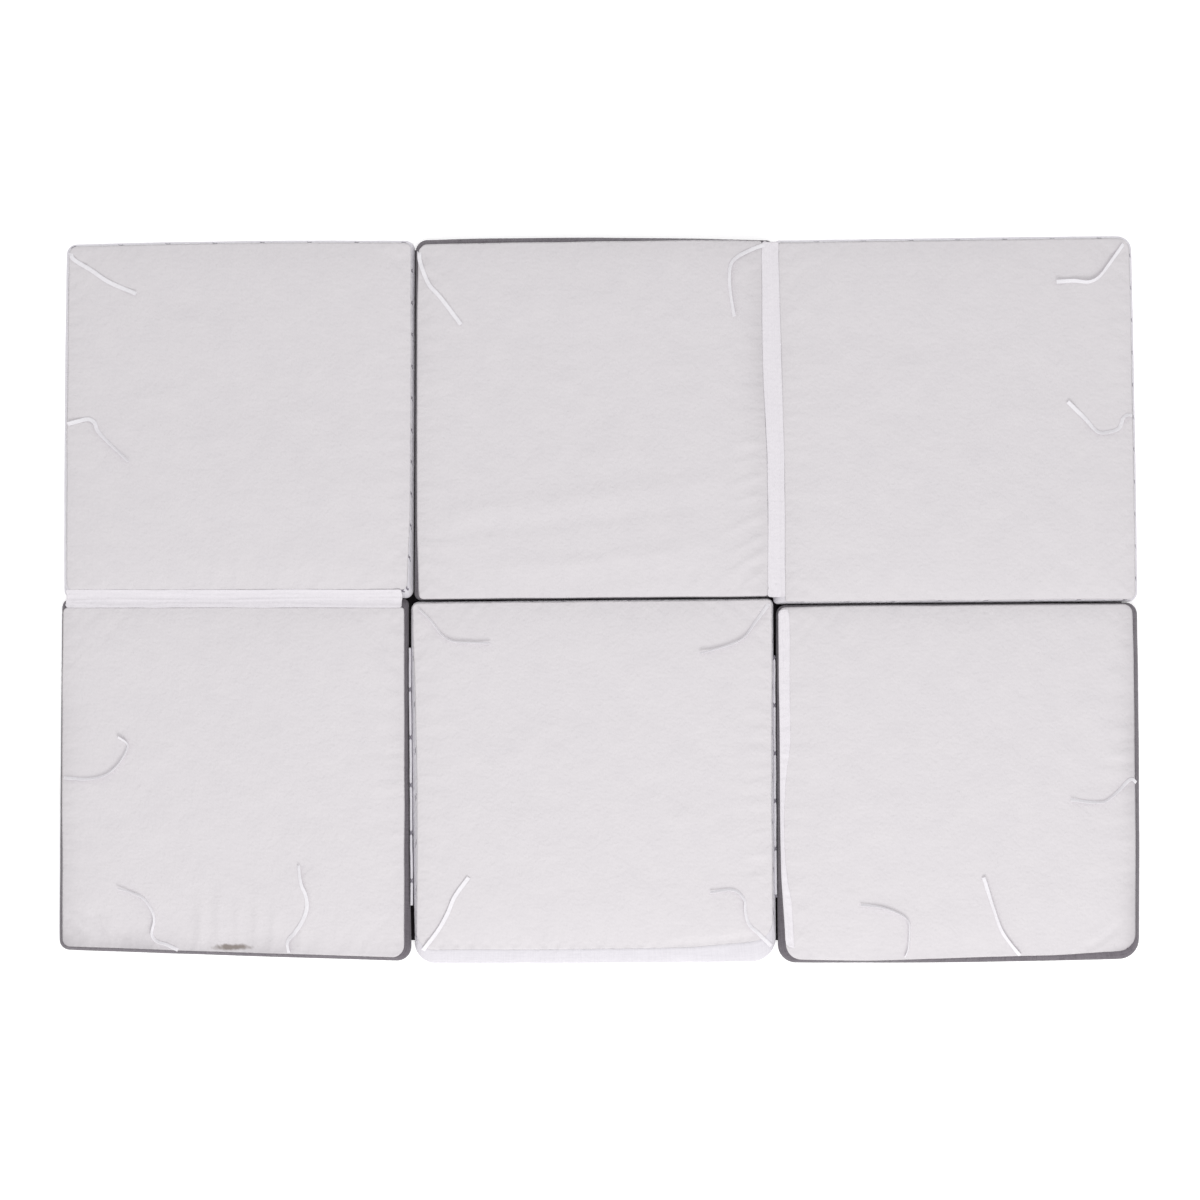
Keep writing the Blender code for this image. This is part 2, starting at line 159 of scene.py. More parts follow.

# Creases of the back panels in millimetres, by pad: x and y of the start, the middle and the end,
# half width, and height. A trough has a negative height.
CREASES = {
    # Two long soft rolls right across the panel, and the short puckers at its hinge.
    2: (
        (-262, 142, 20, 172, 266, 210, 18, 2.5),
        (-262, 110, 20, 136, 262, 166, 12, -1.3),
        (-180, 52, 60, 66, 266, 104, 16, 2.3),
        (-60, 24, 100, 34, 262, 62, 12, -1.2),
        (-120, 232, 40, 240, 180, 262, 16, 0.7),
        (266, 262, 246, 262, 214, 258, 6, 1.0),
        (266, 238, 244, 234, 206, 222, 6, 1.3),
        (266, 206, 244, 200, 204, 184, 7, 1.6),
        (266, 176, 246, 170, 212, 156, 5, 1.3),
        (270, 140, 240, 128, 196, 108, 7, 1.9),
        (272, 104, 246, 94, 212, 78, 6, 1.4),
        (272, 78, 240, 62, 203, 36, 7, 1.8),
        (272, 48, 252, 34, 226, 14, 5, 1.2),
        (-303, 94, -270, 93, -205, 92, 7, 1.0),
        (-300, 66, -272, 62, -236, 55, 6, 0.8),
        (-296, 560, -268, 540, -232, 520, 9, 1.3),
        (250, 566, 222, 536, 190, 500, 9, 1.0),
        (262, 560, 256, 450, 262, 330, 12, -1.6),
    ),
    # Soft vertical gathers along the lower seam and the diagonal ones in the corner.
    4: (
        (-668, -577, -667, -535, -669, -478, 8, 2.9),
        (-638, -578, -640, -530, -637, -470, 8, 2.7),
        (-606, -580, -607, -545, -604, -495, 7, 2.3),
        (-574, -581, -572, -540, -575, -480, 8, 2.7),
        (-545, -582, -546, -550, -542, -505, 7, 2.0),
        (-500, -584, -501, -560, -497, -520, 6, 1.5),
        (-440, -586, -441, -560, -438, -525, 7, 1.3),
        (-892, -530, -878, -548, -866, -562, 4.5, -3.2),
        (-880, -522, -866, -540, -850, -556, 5, 1.9),
        (-850, -524, -840, -544, -822, -562, 5, -2.6),
        (-836, -528, -826, -544, -808, -560, 5, 1.8),
        (-814, -548, -800, -560, -782, -570, 4.5, -2.0),
        (-760, -562, -752, -556, -742, -540, 6, 1.2),
        (-890, -578, -640, -583, -340, -594, 9, -1.0),
        (-609, -4, -610, -150, -608, -305, 3, 0.16),
    ),
    # The panel dips along the lower seam and rolls over at the seam itself.
    5: (
        (-292, -577, 0, -579, 240, -577, 4.5, -2.6),
        (110, -576, 215, -573, 288, -556, 7, -3.0),
        (276, -460, 262, -462, 240, -464, 5, 0.9),
        (276, -425, 258, -428, 236, -434, 5, 1.0),
        (276, -388, 262, -390, 246, -392, 5, 0.9),
        (278, -300, 262, -303, 244, -310, 5, 0.8),
        (278, -214, 262, -215, 244, -218, 5, 0.8),
    ),
    # Corner creases, and short puckers at the right seam.
    6: (
        (812, -584, 850, -566, 882, -528, 6, -2.2),
        (800, -572, 836, -556, 868, -520, 9, 1.1),
        (886, -80, 868, -82, 846, -86, 5, 1.0),
        (886, -118, 866, -121, 840, -128, 6, 1.1),
        (886, -160, 868, -165, 848, -172, 5, 0.9),
        (886, -262, 862, -258, 836, -262, 6, 0.9),
    ),
    # The fold at the corner, and faint pulls on the panel.
    3: (
        (872, 590, 858, 584, 838, 582, 5, 1.2),
        (278, 30, 300, 30, 326, 36, 6, 0.7),
        (400, 91, 420, 90, 442, 92, 8, 0.5),
        (640, 172, 660, 171, 678, 174, 8, 0.5),
    ),
    # Two faint swells.
    1: (
        (-660, 268, -610, 266, -560, 270, 10, 0.5),
        (-720, 470, -690, 462, -650, 466, 14, 0.6),
    ),
}
# Low hills of the back panels: their size and height in millimetres.
RELIEF = ((170, 1.3), (62, 0.95), (26, 0.55), (13, 0.28))
CREASE_STEPS = 24
CORNER_FAN = (-0.55, 0.0, 0.55)
CORNER_START = 16.0

# White strips over a valley: the pads and sides on its left and its right, where it starts and ends along
# the valley, and the sag between the seams, in millimetres.
Strip = namedtuple("Strip", "node left right start end sag seed")
HINGES = (
    Strip("hinge_1_4", (1, 0), (4, 2), -893.0, -331.5, 3.0, 31),
    Strip("hinge_2_3", (2, 1), (3, 3), 4.0, 598.5, 3.4, 32),
)
STRIP_OVERLAP = 0.7 * MM
STRIP_OVER_SEAM = 0.9 * MM
EDGE_DROP = 0.35 * MM
STRIP_ROUND = 3.5 * MM
SEAM_END = 28.0 * MM
STRIP_THICK = 0.6 * MM
# Lengthwise pleats: where across the strip, how wide as a share of it, and how high.
Pleat = namedtuple("Pleat", "across width height")
PLEATS = (
    Pleat(-0.62, 0.16, 0.7 * MM),
    Pleat(-0.12, 0.13, 0.9 * MM),
    Pleat(0.38, 0.15, 0.8 * MM),
    Pleat(0.80, 0.12, 0.5 * MM),
)

# The strip on pad 6: how far right it reaches, in millimetres, by how far down the mat.
EDGE_STRIP_RIGHT = ((-10, 309.0), (-16, 312.5), (-26, 315.5), (-60, 316.3), (-168, 316.6), (-235, 318.0),
                    (-275, 313.0), (-302, 309.0), (-368, 306.5), (-435, 308.3), (-470, 313.0), (-502, 319.5),
                    (-552, 322.5), (-584, 324.0))
# Its first and last place as shares of the panel's height, its left edge inside the seam, and its height over
# the panel.
EDGE_STRIP_SPAN = (0.994, 0.035)
EDGE_STRIP_IN = 0.4 * MM
EDGE_STRIP_OVER = 0.8 * MM

# Print-cloth strips that stand folded in a gap: ends, top of the fold and how uneven it is, where the print
# starts along them, and their own seed, in millimetres.
Fold = namedtuple("Fold", "node start end top lift pattern seed")
FOLDS = (
    Fold("joining_strip_4_5", (-316.1, -511.0), (-319.2, -80.0), 25.5, 0.8, 29.8, 41),
    Fold("joining_strip_5_6", (293.6, -498.0), (290.9, -93.0), 24.0, 1.6, 56.3, 42),
)
FOLD_HALF_WIDTH = 2.1 * MM
FOLD_BOTTOM_Z = 4.5 * MM

# Tape ties: the route from the sewn end to the free end in millimetres, and how far the tape leans over in
# degrees at its start, middle and end. A positive lean lifts its left edge.
Tie = namedtuple("Tie", "route leans")
TIES = (
    Tie(((-886, 581), (-880, 569), (-851, 551), (-821, 531), (-775, 511)), (10, 5, -15)),
    Tie(((-891, 294), (-871, 299), (-856, 302), (-845, 296), (-835, 277), (-788, 231)), (20, -45, -62)),
    Tie(((-303, 583), (-301, 563), (-287, 528), (-267, 505), (-233, 460)), (0, 12, 5)),
    Tie(((275, 594), (253, 586), (226, 571), (216, 554), (216, 520), (223, 473)), (0, 45, 50)),
    Tie(((874, 595), (851, 563), (833, 540), (815, 531), (789, 533), (761, 531)), (-35, -48, -12)),
    Tie(((889, 309), (880, 309), (873, 303), (865, 286), (841, 279), (827, 283), (808, 304), (780, 331)),
        (50, 35, -30)),
    Tie(((-897, -297), (-856, -299), (-826, -292), (-805, -274), (-791, -251), (-791, -239), (-805, -229)),
        (-45, -70, -55)),
    Tie(((-706, -585), (-724, -576), (-741, -570), (-749, -558), (-745, -536), (-748, -520), (-763, -498),
         (-783, -488), (-805, -481)), (35, 66, 70)),
    Tie(((-521, -590), (-523, -571), (-510, -555), (-497, -535), (-490, -513), (-492, -493), (-500, -473),
         (-504, -443)), (-42, -12, -48)),
    Tie(((-305, -13), (-283, -35), (-265, -58), (-246, -69), (-216, -71), (-184, -72)), (-68, -72, -62)),
    Tie(((281, -6), (275, -15), (255, -42), (240, -62), (215, -75), (166, -89)), (30, 72, 62)),
    Tie(((-297, -586), (-272, -553), (-256, -525), (-243, -495), (-220, -463)), (15, 22, 12)),
    Tie(((286, -579), (265, -558), (248, -541), (242, -520), (240, -500), (221, -484), (183, -488)),
        (10, 52, 64)),
    Tie(((896, -305), (885, -300), (865, -319), (848, -333), (836, -338), (813, -337), (785, -333)),
        (30, 64, 45)),
    Tie(((509, -597), (514, -582), (516, -551), (512, -533), (490, -520), (464, -512), (434, -509)),
        (66, 68, 62)),
    Tie(((701, -594), (686, -576), (669, -551), (656, -516), (644, -478), (639, -463)), (-38, -52, -30)),
)
TIE_STATIONS = 60
TIE_SECTION = 14
TIE_CLEAR = 0.3 * MM
TIE_REACH = 2.6 * MM
TIE_MARGIN = 12.0 * MM
SEWN_IN = 6.0 * MM
SEWN_DOWN = 2.2 * MM
FREE_END_LIFT = 0.9 * MM

# The print's repeat. For each side of the three print bands, where the print starts along the side, and how
# far under the back seam its first row has its middle. All in millimetres.
PRINT_STEP = (80.0, 27.3)
PRINT_STARTS = {1: (45.0, 6.4, 45.0, 20.0), 3: (39.0, -20.4, 2.4, 0.0), 5: (0.0, 30.0, 20.0, 60.0)}
PRINT_UNDER_SEAM = {1: (3.0, 3.0, 2.4, 24.0), 3: (2.6, 3.0, 2.4, 3.0), 5: (33.0, 5.0, 3.0, 5.0)}

# The sprig's two strokes: angle and half length, and the half width of both.
SPRIG = ((0.7, 6.5 * MM), (-0.55, 4.2 * MM))
STROKE_HALF_WIDTH = 1.25 * MM

# The old stain: its pad, its middle and reach in metres, and how strong it is.
STAINED_PAD = 4
STAIN_CENTRE = (-0.6165, -0.5801)
STAIN_REACH = (0.036, 0.0064)
STAIN_STRENGTH = 0.88

# The softbox: its size, its place and what it is turned to.
SOFTBOX_SIZE = (2.0, 1.3)
SOFTBOX_PLACE = (0.45, -2.7, 2.6)
SOFTBOX_AIM = (0.0, -0.1, 0.0)

# The camera looks straight down on this width of the plane through the pads' backs.
VIEW_WIDTH = 2.005
VIEW_CENTRE = (-0.0008, 0.0)
VIEW_PLANE_Z = 0.035
SENSOR = 36.0
LENS = 100.0

# The floor's dividing lines in metres. Under the gaps between pads it is dark paper, painted shade.
FLOOR_REACH = 12.0
FLOOR_X = (-FLOOR_REACH, -0.880, -0.340, -0.295, 0.270, 0.320, 0.876, FLOOR_REACH)
FLOOR_Y = (-FLOOR_REACH, -0.572, -0.020, 0.012, 0.588, FLOOR_REACH)
PAINTED_SHADE_COLUMNS = (2, 4)
PAINTED_SHADE_ROW = 2


# The mat's cottons: their name, colour and darker yarns, the size of a thread and the height of its relief in
# millimetres, how strongly uneven yarns show, roughness and sheen.
Cotton = namedtuple("Cotton", "name colour dark thread relief slubs roughness sheen")
COTTONS = {
    # Unbleached plain calico, as the back panels are cut from: dry and matt, a little grey. One is stained.
    "calico": Cotton("plain_woven_calico", "calico", "calico_shade", 1.1, 0.04, 0.35, 0.88, 0.12),
    "stained": Cotton("stained_plain_woven_calico", "calico", "calico_shade", 1.1, 0.04, 0.35, 0.88, 0.12),
    # Bleached cotton strip, whiter and closer woven than the panels, with a little more sheen.
    "strip": Cotton("bleached_cotton_strip", "strip", "strip_shade", 0.9, 0.04, 1.0, 0.85, 0.15),
    # Narrow woven cotton tape: bleached, with ribs along it, the whitest thing on the mat.
    "tape": Cotton("woven_cotton_tape", "tape", "strip_shade", 1.0, 0.05, 0.6, 0.8, 0.15),
    # Piece-dyed charcoal cotton: the yarns take the dye unevenly, so the cloth looks faintly flecked.
    "charcoal": Cotton("piece_dyed_charcoal_cotton", "charcoal", "charcoal_shade", 1.1, 0.05, 2.4, 0.9, 0.2),
    # White cotton, screen-printed: the ink is flat and a little greyer where the weave shows through.
    "print": Cotton("screen_printed_cotton", "print_ground", "print_shade", 1.1, 0.05, 1.2, 0.87, 0.12),
}


def linear(hexes):
    """An sRGB hex colour as three linear numbers and a full alpha."""
    channels = np.array([int(hexes[i:i + 2], 16) for i in (0, 2, 4)]) / 255.0
    return (*np.where(channels <= 0.04045, channels / 12.92, ((channels + 0.055) / 1.055) ** 2.4), 1.0)


def eased(edge, value):
    """Smoothstep: 0 at 0, 1 at the edge, level at both."""
    t = np.clip(value / edge, 0.0, 1.0)
    return t * t * (3.0 - 2.0 * t)


def clouds(x, y, size, seed):
    """Soft hills from about -1 to 1: random heights on a square lattice of that size, blended by smoothstep.
    The lattice repeats after 256 steps."""
    heights = np.random.default_rng(seed).uniform(-1.0, 1.0, (256, 256))
    u = np.asarray(x) / size
    v = np.asarray(y) / size
    column = np.floor(u).astype(int)
    row = np.floor(v).astype(int)
    a = eased(1.0, u - column)
    b = eased(1.0, v - row)
    left, right = column % 256, (column + 1) % 256
    below, above = row % 256, (row + 1) % 256
    low = heights[below, left] * (1 - a) + heights[below, right] * a
    high = heights[above, left] * (1 - a) + heights[above, right] * a
    return low * (1 - b) + high * b


def gathers(run, pitch, seed):
    """Puckers along a seam, from -1 to 1: a sine whose step wanders and whose strength comes and goes."""
    wander = clouds(run, 0.0, 5.0 * pitch, seed)
    strength = 0.55 + 0.45 * clouds(run, 0.0, 7.0 * pitch, seed + 100)
    return strength * np.sin(math.tau * run / pitch + 4.0 * wander)


def bell(run, reach):
    """Nothing at the seam, most at the reach, and dying away past it."""
    return run / reach * np.exp(1.0 - run / reach)


def softened(values, passes):
    """A row of values, each pass averaging it with its neighbours."""
    for _ in range(passes):
        padded = np.concatenate([values[:1], values, values[-1:]])
        values = (padded[:-2] + 2 * padded[1:-1] + padded[2:]) / 4
    return values


def run_along(line):
    """How far along a line of points each point is: the running sum of its steps."""
    return np.concatenate([[0.0], np.cumsum(np.linalg.norm(np.diff(line, axis=0), axis=1))])


def resampled(line, shares):
    """A line of points read at shares of its length."""
    run = run_along(line)
    return np.stack([np.interp(np.asarray(shares) * run[-1], run, axis) for axis in line.T], axis=1)


def inward_of(loop):
    """Level unit normals to the left of a closed line: the way from the point before to the one after, turned
    a quarter. They point inwards where the line runs anticlockwise."""
    ahead = np.roll(loop, -1, axis=-2) - np.roll(loop, 1, axis=-2)
    left = np.stack([-ahead[..., 1], ahead[..., 0]], axis=-1)
    return left / np.linalg.norm(left, axis=-1)[..., None]


def profiled(profile, share):
    """A value along a side, read between even steps and rounded off where they meet."""
    return softened(np.interp(share, np.linspace(0.0, 1.0, len(profile)), profile), 6)


@lru_cache(maxsize=None)
def side_curves(pad, insets, less):
    """The four sides of a pad's outline, each from the middle of one round corner to the middle of the next.

    Each side of the pad's quadrilateral moves in by its inset. An arc touches both sides at each corner, the
    line between two arcs follows the inset's profile and bows out by bow * (1 - (2t - 1)^2), and half an arc,
    the line and half an arc are read at even distances. Insets and radii are in millimetres.
    """
    corners = np.array(pad.corners) * MM
    along = np.roll(corners, -1, axis=0) - corners
    along /= np.linalg.norm(along, axis=1)[:, None]
    inward = np.stack([-along[:, 1], along[:, 0]], axis=1)
    arcs = []
    for side in range(4):
        before = side - 1
        last = corners[before] + inward[before] * insets[before][-1] * MM
        first = corners[side] + inward[side] * insets[side][0] * MM
        crossing = np.stack([along[before], -along[side]], axis=1)
        solved = np.linalg.solve(crossing, first - last)
        turn = math.acos(float(along[before] @ along[side]))
        bisector = along[side] - along[before]
        bisector /= np.linalg.norm(bisector)
        radius = (pad.radii[side] - less) * MM
        centre = last + along[before] * solved[0] + bisector * radius / math.cos(turn / 2)
        begun = math.atan2(-inward[before][1], -inward[before][0])
        angles = begun + turn * np.linspace(0.0, 1.0, 2 * ARC_HALF_STEPS + 1)
        arcs.append(centre + radius * np.stack([np.cos(angles), np.sin(angles)], axis=1))
    share = np.linspace(0.0, 1.0, SIDE_STEPS + 1)[1:-1, None]
    curves = []
    for side in range(4):
        start = arcs[side]
        end = arcs[(side + 1) % 4]
        profile = insets[side]
        moved = profiled(profile, share[:, 0])[:, None] - profile[0] - (profile[-1] - profile[0]) * share
        bow = pad.bows[side] * (1.0 - (2.0 * share - 1.0) ** 2)
        line = start[-1] + (end[0] - start[-1]) * share + inward[side] * (moved - bow) * MM
        whole = np.concatenate([start[ARC_HALF_STEPS:], line, end[:ARC_HALF_STEPS + 1]])
        curves.append(resampled(whole, np.linspace(0.0, 1.0, GRID + 1)))
    return np.array(curves)


def inset_curves(pad, inset):
    """The widest outline moved in by one distance in millimetres."""
    return side_curves(pad, ((inset,),) * 4, 0.0)


def loop_of(curves):
    """Four sides as one closed loop, anticlockwise, with no point twice."""
    return curves[:, :-1].reshape(-1, curves.shape[-1])


def patch(curves):
    """A surface over four sides: the two ruled surfaces between opposite sides, less the flat one that both
    hold (a Coons patch). Rows run from the lower side to the upper one."""
    low, right, up, left = curves[0], curves[1], curves[2][::-1], curves[3][::-1]
    s = np.linspace(0.0, 1.0, GRID + 1)[None, :, None]
    t = s.reshape(-1, 1, 1)
    ruled = (1 - t) * low[None] + t * up[None] + (1 - s) * left[:, None] + s * right[:, None]
    flat = (1 - t) * ((1 - s) * low[0] + s * low[-1]) + t * ((1 - s) * up[0] + s * up[-1])
    return ruled - flat


def border_index(rows, columns):
    """Indices of a grid's border, anticlockwise from its first point."""
    index = np.arange(rows * columns).reshape(rows, columns)
    return np.concatenate([index[0, :-1], index[:-1, -1], index[-1, :0:-1], index[:0:-1, 0]])


def joined(above, below):
    """The cells between two closed lines of points, facing out where the lines run anticlockwise."""
    return np.stack([np.roll(above, -1), above, below, np.roll(below, -1)], axis=1)


@lru_cache(maxsize=None)
def seam_sides(pad):
    """The back seam in space: its outline wanders by half a millimetre, and its height varies as much."""
    flat = side_curves(pad, pad.seams, SEAM_RADIUS_LESS)
    x, y = flat[..., 0], flat[..., 1]
    seed = 10 * pad.number
    moved_x = x + 0.45 * MM * clouds(x, y, 70 * MM, seed)
    moved_y = y + 0.45 * MM * clouds(x, y, 70 * MM, seed + 1)
    z = BACK_SEAM_Z + 0.5 * MM * clouds(x, y, 55 * MM, seed + 2)
    return np.stack([moved_x, moved_y, z], axis=-1)


def runs_of(grid):
    """How far each point of a grid is from the lower, right, upper and left border."""
    edges = (grid[:1], grid[:, -1:], grid[-1:], grid[:, :1])
    return [np.linalg.norm(grid[..., :2] - edge[..., :2], axis=-1) for edge in edges]


def raised(grid, lift):
    """A grid of points lifted straight up."""
    return grid + lift[..., None] * (0.0, 0.0, 1.0)


def crown_share(run):
    """How much of the crown stands at a distance inside one seam."""
    lip = LIP_SHARE * (1.0 - np.exp(-run / LIP_REACH))
    return lip + (1.0 - LIP_SHARE) * (1.0 - np.exp(-run / SWELL_REACH))


def crease_lift(crease, x, y):
    """A soft ridge or trough: height * exp(-(distance / width)^2) along a bent line, fading at both ends."""
    share = np.linspace(0.0, 1.0, CREASE_STEPS)[:, None]
    start, middle, end = np.reshape(crease[:6], (3, 2)) * MM
    width, height = crease[6:]
    line = (1 - share) ** 2 * start + 2 * share * (1 - share) * middle + share**2 * end
    away = np.stack([np.hypot(x - px, y - py) for px, py in line])
    nearest = away.argmin(axis=0) / (CREASE_STEPS - 1)
    fade = eased(0.12, nearest + 0.04) * eased(0.5, 1.04 - nearest)
    return height * MM * fade * np.exp(-((away.min(axis=0) / (width * MM)) ** 2))


def corner_creases(pad):
    """Short creases that run in from each round corner, fanned out, each a little longer or higher."""
    chance = np.random.default_rng(700 + pad.number)
    found = []
    middle = np.mean(pad.corners, axis=0)
    for corner in pad.corners:
        inward = math.atan2(*(middle - corner)[::-1])
        for fan in CORNER_FAN:
            angle = inward + fan + chance.uniform(-0.15, 0.15)
            way = np.array([math.cos(angle), math.sin(angle)])
            start = np.array(corner) + way * CORNER_START
            length = chance.uniform(24.0, 60.0)
            bend = way[::-1] * (-1.0, 1.0) * chance.uniform(-4.0, 4.0)
            found.append((*start, *(start + way * length / 2 + bend), *(start + way * length),
                          chance.uniform(3.5, 6.5), chance.uniform(0.35, 0.8)))
    return found


def finer(coarse):
    """A coarse square of values read at every cell of the fine grid, as a Catmull-Rom curve both ways."""
    place = np.arange(GRID + 1) / CLOTH_EVERY
    first = np.minimum(place.astype(int), len(coarse) - 2)
    t = (place - first)[:, None]
    weights = np.zeros((GRID + 1, len(coarse)))
    shares = np.concatenate([-t + 2 * t**2 - t**3, 2 - 5 * t**2 + 3 * t**3, t + 4 * t**2 - 3 * t**3,
                             t**3 - t**2], axis=1) / 2
    for step in range(4):
        known = np.clip(first + step - 1, 0, len(coarse) - 1)
        np.add.at(weights, (np.arange(GRID + 1), known), shares[:, step])
    return weights @ coarse @ weights.T


def placed(name, data):
    """A new object in the scene, at the origin, with this mesh, lamp or camera."""
    made = bpy.data.objects.new(name, data)
    bpy.context.scene.collection.objects.link(made)
    return made


def blown_up(pad, grid):
    """How far the filling pushes the back panel up, from Blender's cloth simulation.

    The panel at a part of its crown, closed by a flat underside, is cloth that is cut a little too large. It
    is held at the seam and below, and a pressure from inside pushes it out without gravity for twenty frames.
    A point's way is then held back as most * (1 - exp(-way / most)), because foam swells only so far.
    """
    panel = grid[::CLOTH_EVERY, ::CLOTH_EVERY]
    rows = len(panel)
    under = panel * (1.0, 1.0, 0.0) + (0.0, 0.0, FRONT_SEAM_Z)
    border = border_index(rows, rows)
    top = quads_of(rows, rows)
    below = rows * rows
    points = np.concatenate([panel.reshape(-1, 3), under.reshape(-1, 3)])
    quads = np.concatenate([top, joined(border, border + below), top[:, ::-1] + below])
    mesh = made_mesh("cloth_trial", points, quads, points[quads][..., :2])
    trial = placed(mesh.name, mesh)
    held = trial.vertex_groups.new(name="Held")
    held.add(np.concatenate([border, np.arange(below, 2 * below)]).tolist(), 1.0, "REPLACE")
    cloth = trial.modifiers.new("Cloth", "CLOTH")
    cloth.settings.vertex_group_mass = held.name
    cloth.settings.use_pressure = True
    cloth.settings.uniform_pressure_force = CLOTH_PRESSURE
    cloth.settings.shrink_min = -CLOTH_SPARE
    cloth.settings.effector_weights.gravity = 0.0
    cloth.point_cache.frame_end = CLOTH_FRAMES
    scene = bpy.context.scene
    for frame_number in range(1, CLOTH_FRAMES + 1):
        scene.frame_set(frame_number)
    applied = bpy.data.meshes.new_from_object(trial.evaluated_get(bpy.context.evaluated_depsgraph_get()))
    found = np.zeros(points.size, np.float32)
    applied.vertices.foreach_get("co", found)
    way = (found.reshape(-1, 3)[:below, 2] - points[:below, 2]).reshape(rows, rows)
    bpy.data.objects.remove(trial)
    for used in (mesh, applied):
        bpy.data.meshes.remove(used)
    scene.frame_set(1)
    most = (1.0 - CLOTH_START) * pad.crown * MM
    return finer(most * (1.0 - np.exp(-np.maximum(way, 0.0) / most)))


@lru_cache(maxsize=None)
def back_surface(pad):
    """The outer face of a back panel on a square grid.

    Its height is the seam's, plus the crown times the product of the four sides' shares, part of which the
    cloth simulation takes over, plus puckers that die away from each seam, creases, and low hills of four
    sizes.
    """
    grid = patch(seam_sides(pad))
    x, y = grid[..., 0], grid[..., 1]
    runs = runs_of(grid)
    rise = pad.crown * MM * np.prod([crown_share(run) for run in runs], axis=0)
    relief = np.zeros_like(rise)
    for side, run in enumerate(runs):
        along = x if side % 2 == 0 else y
        seed = 100 * pad.number + side
        fine = gathers(along, 13.0 * MM, seed) * bell(run, 5.0 * MM)
        broad = gathers(along, 37.0 * MM, seed + 50) * bell(run, 16.0 * MM)
        relief += pad.gathers[side] * MM * (1.2 * fine + 1.4 * broad)
    for crease in (*CREASES[pad.number], *corner_creases(pad)):
        relief += crease_lift(crease, x, y)
    for size, height in RELIEF:
        relief += height * MM * clouds(x, y, size * MM, size + pad.number)
    relief *= 1.0 - np.exp(-np.minimum.reduce(runs) / RELIEF_REACH)
    grid = raised(grid, CLOTH_START * rise + relief)
    return raised(grid, blown_up(pad, grid))


def band_profile(turn):
    """One column of a side band: how far out and how high, for a turn from 0 at the back seam to 1 at the
    front seam. Above the widest line it goes out as a sine of the depth, below it a fuller one."""
    depth = BACK_SEAM_Z + turn * (FRONT_SEAM_Z - BACK_SEAM_Z)
    above = np.clip((BACK_SEAM_Z - depth) / (BACK_SEAM_Z - BULGE_Z), 0.0, 1.0)
    below = np.clip((depth - FRONT_SEAM_Z) / (BULGE_Z - FRONT_SEAM_Z), 0.0, 1.0)
    return np.sin(math.pi / 2 * above), np.sin(math.pi / 2 * below) ** 0.7, depth


@lru_cache(maxsize=None)
def band_surface(pad):
    """The outer face of a side band: columns round the pad, rows from the back seam to the front seam.

    Each column goes from the seam out to the widest outline and in again to the front seam, with puckers
    below both seams and soft dents between them, along the outline's own outward direction.
    """
    seam = loop_of(seam_sides(pad))
    widest = loop_of(inset_curves(pad, 0.0))
    front = loop_of(inset_curves(pad, FRONT_SEAM_INSET / MM))
    turn = np.linspace(0.0, 1.0, BAND_ROWS + 1)
    upper, lower, depth = (part[:, None, None] for part in band_profile(turn))
    flat = np.where(depth > BULGE_Z, seam[:, :2] + (widest - seam[:, :2]) * upper,
                    front + (widest - front) * lower)
    run = run_along(widest)[None]
    level = depth[..., 0]
    seed = 60 * pad.number
    above, below = (BACK_SEAM_Z - level) * 1.2, (level - FRONT_SEAM_Z) * 1.2
    pushed = 0.45 * MM * gathers(run, 12.0 * MM, seed) * bell(above, 4.0 * MM)
    pushed = pushed + 0.40 * MM * gathers(run, 15.0 * MM, seed + 1) * bell(below, 4.0 * MM)
    pushed = pushed + 0.35 * MM * clouds(run, level, 45 * MM, seed + 2) * np.sin(math.pi * turn)[:, None]
    flat = flat - inward_of(widest) * np.minimum(pushed, MOST_PUSHED)[..., None]
    settle = eased(BACK_SEAM_Z - BULGE_Z, depth - BULGE_Z)
    height = depth + (seam[:, 2:] - BACK_SEAM_Z) * settle
    return np.concatenate([flat, np.broadcast_to(height, (*flat.shape[:2], 1))], axis=-1)


def turned_in(edge, drop):
    """A raw edge turned in at a seam: inwards by the seam allowance, and down or up by most of it."""
    down = np.full(len(edge), drop * SEAM_ALLOWANCE)
    return edge + np.column_stack([inward_of(edge) * SEAM_ALLOWANCE, down])


def quads_of(rows, columns, closed=False):
    """The cells of a grid of points as rows of four indices. A closed grid joins its last column to its first
    one."""
    row = np.arange(rows - 1)[:, None] * columns
    column = np.arange(columns if closed else columns - 1)[None]
    beside = (column + 1) % columns
    return np.stack([row + column, row + beside, row + columns + beside, row + columns + column],
                    axis=-1).reshape(-1, 4)


def made_mesh(name, points, quads, flat):
    """A smooth mesh from points, cells and the cells' cloth coordinates in metres."""
    mesh = bpy.data.meshes.new(name)
    mesh.vertices.add(len(points))
    mesh.vertices.foreach_set("co", np.asarray(points, np.float32).ravel())
    mesh.loops.add(quads.size)
    mesh.loops.foreach_set("vertex_index", quads.astype(np.int32).ravel())
    mesh.polygons.add(len(quads))
    mesh.polygons.foreach_set("loop_start", np.arange(0, quads.size, 4, dtype=np.int32))
    mesh.update(calc_edges=True)
    mesh.polygons.foreach_set("use_smooth", np.ones(len(quads), bool))
    layer = mesh.uv_layers.new(name="Cloth")
    layer.data.foreach_set("uv", np.asarray(flat, np.float32).ravel())
    mesh.update()
    return mesh


def added(name, mesh, material, node):
    """Puts a finished piece into the scene, on the mat's one body, in place of its solid."""
    mesh.materials.append(material)
    piece = placed(name, mesh)
    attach(piece, "root")
    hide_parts(node)
    return piece


def thickened(piece):
    """Gives a strip its thickness, on the inner side of its outer face."""
    solidify = piece.modifiers.new("Thickness", "SOLIDIFY")
    solidify.thickness = STRIP_THICK
    solidify.offset = -1.0
    return piece


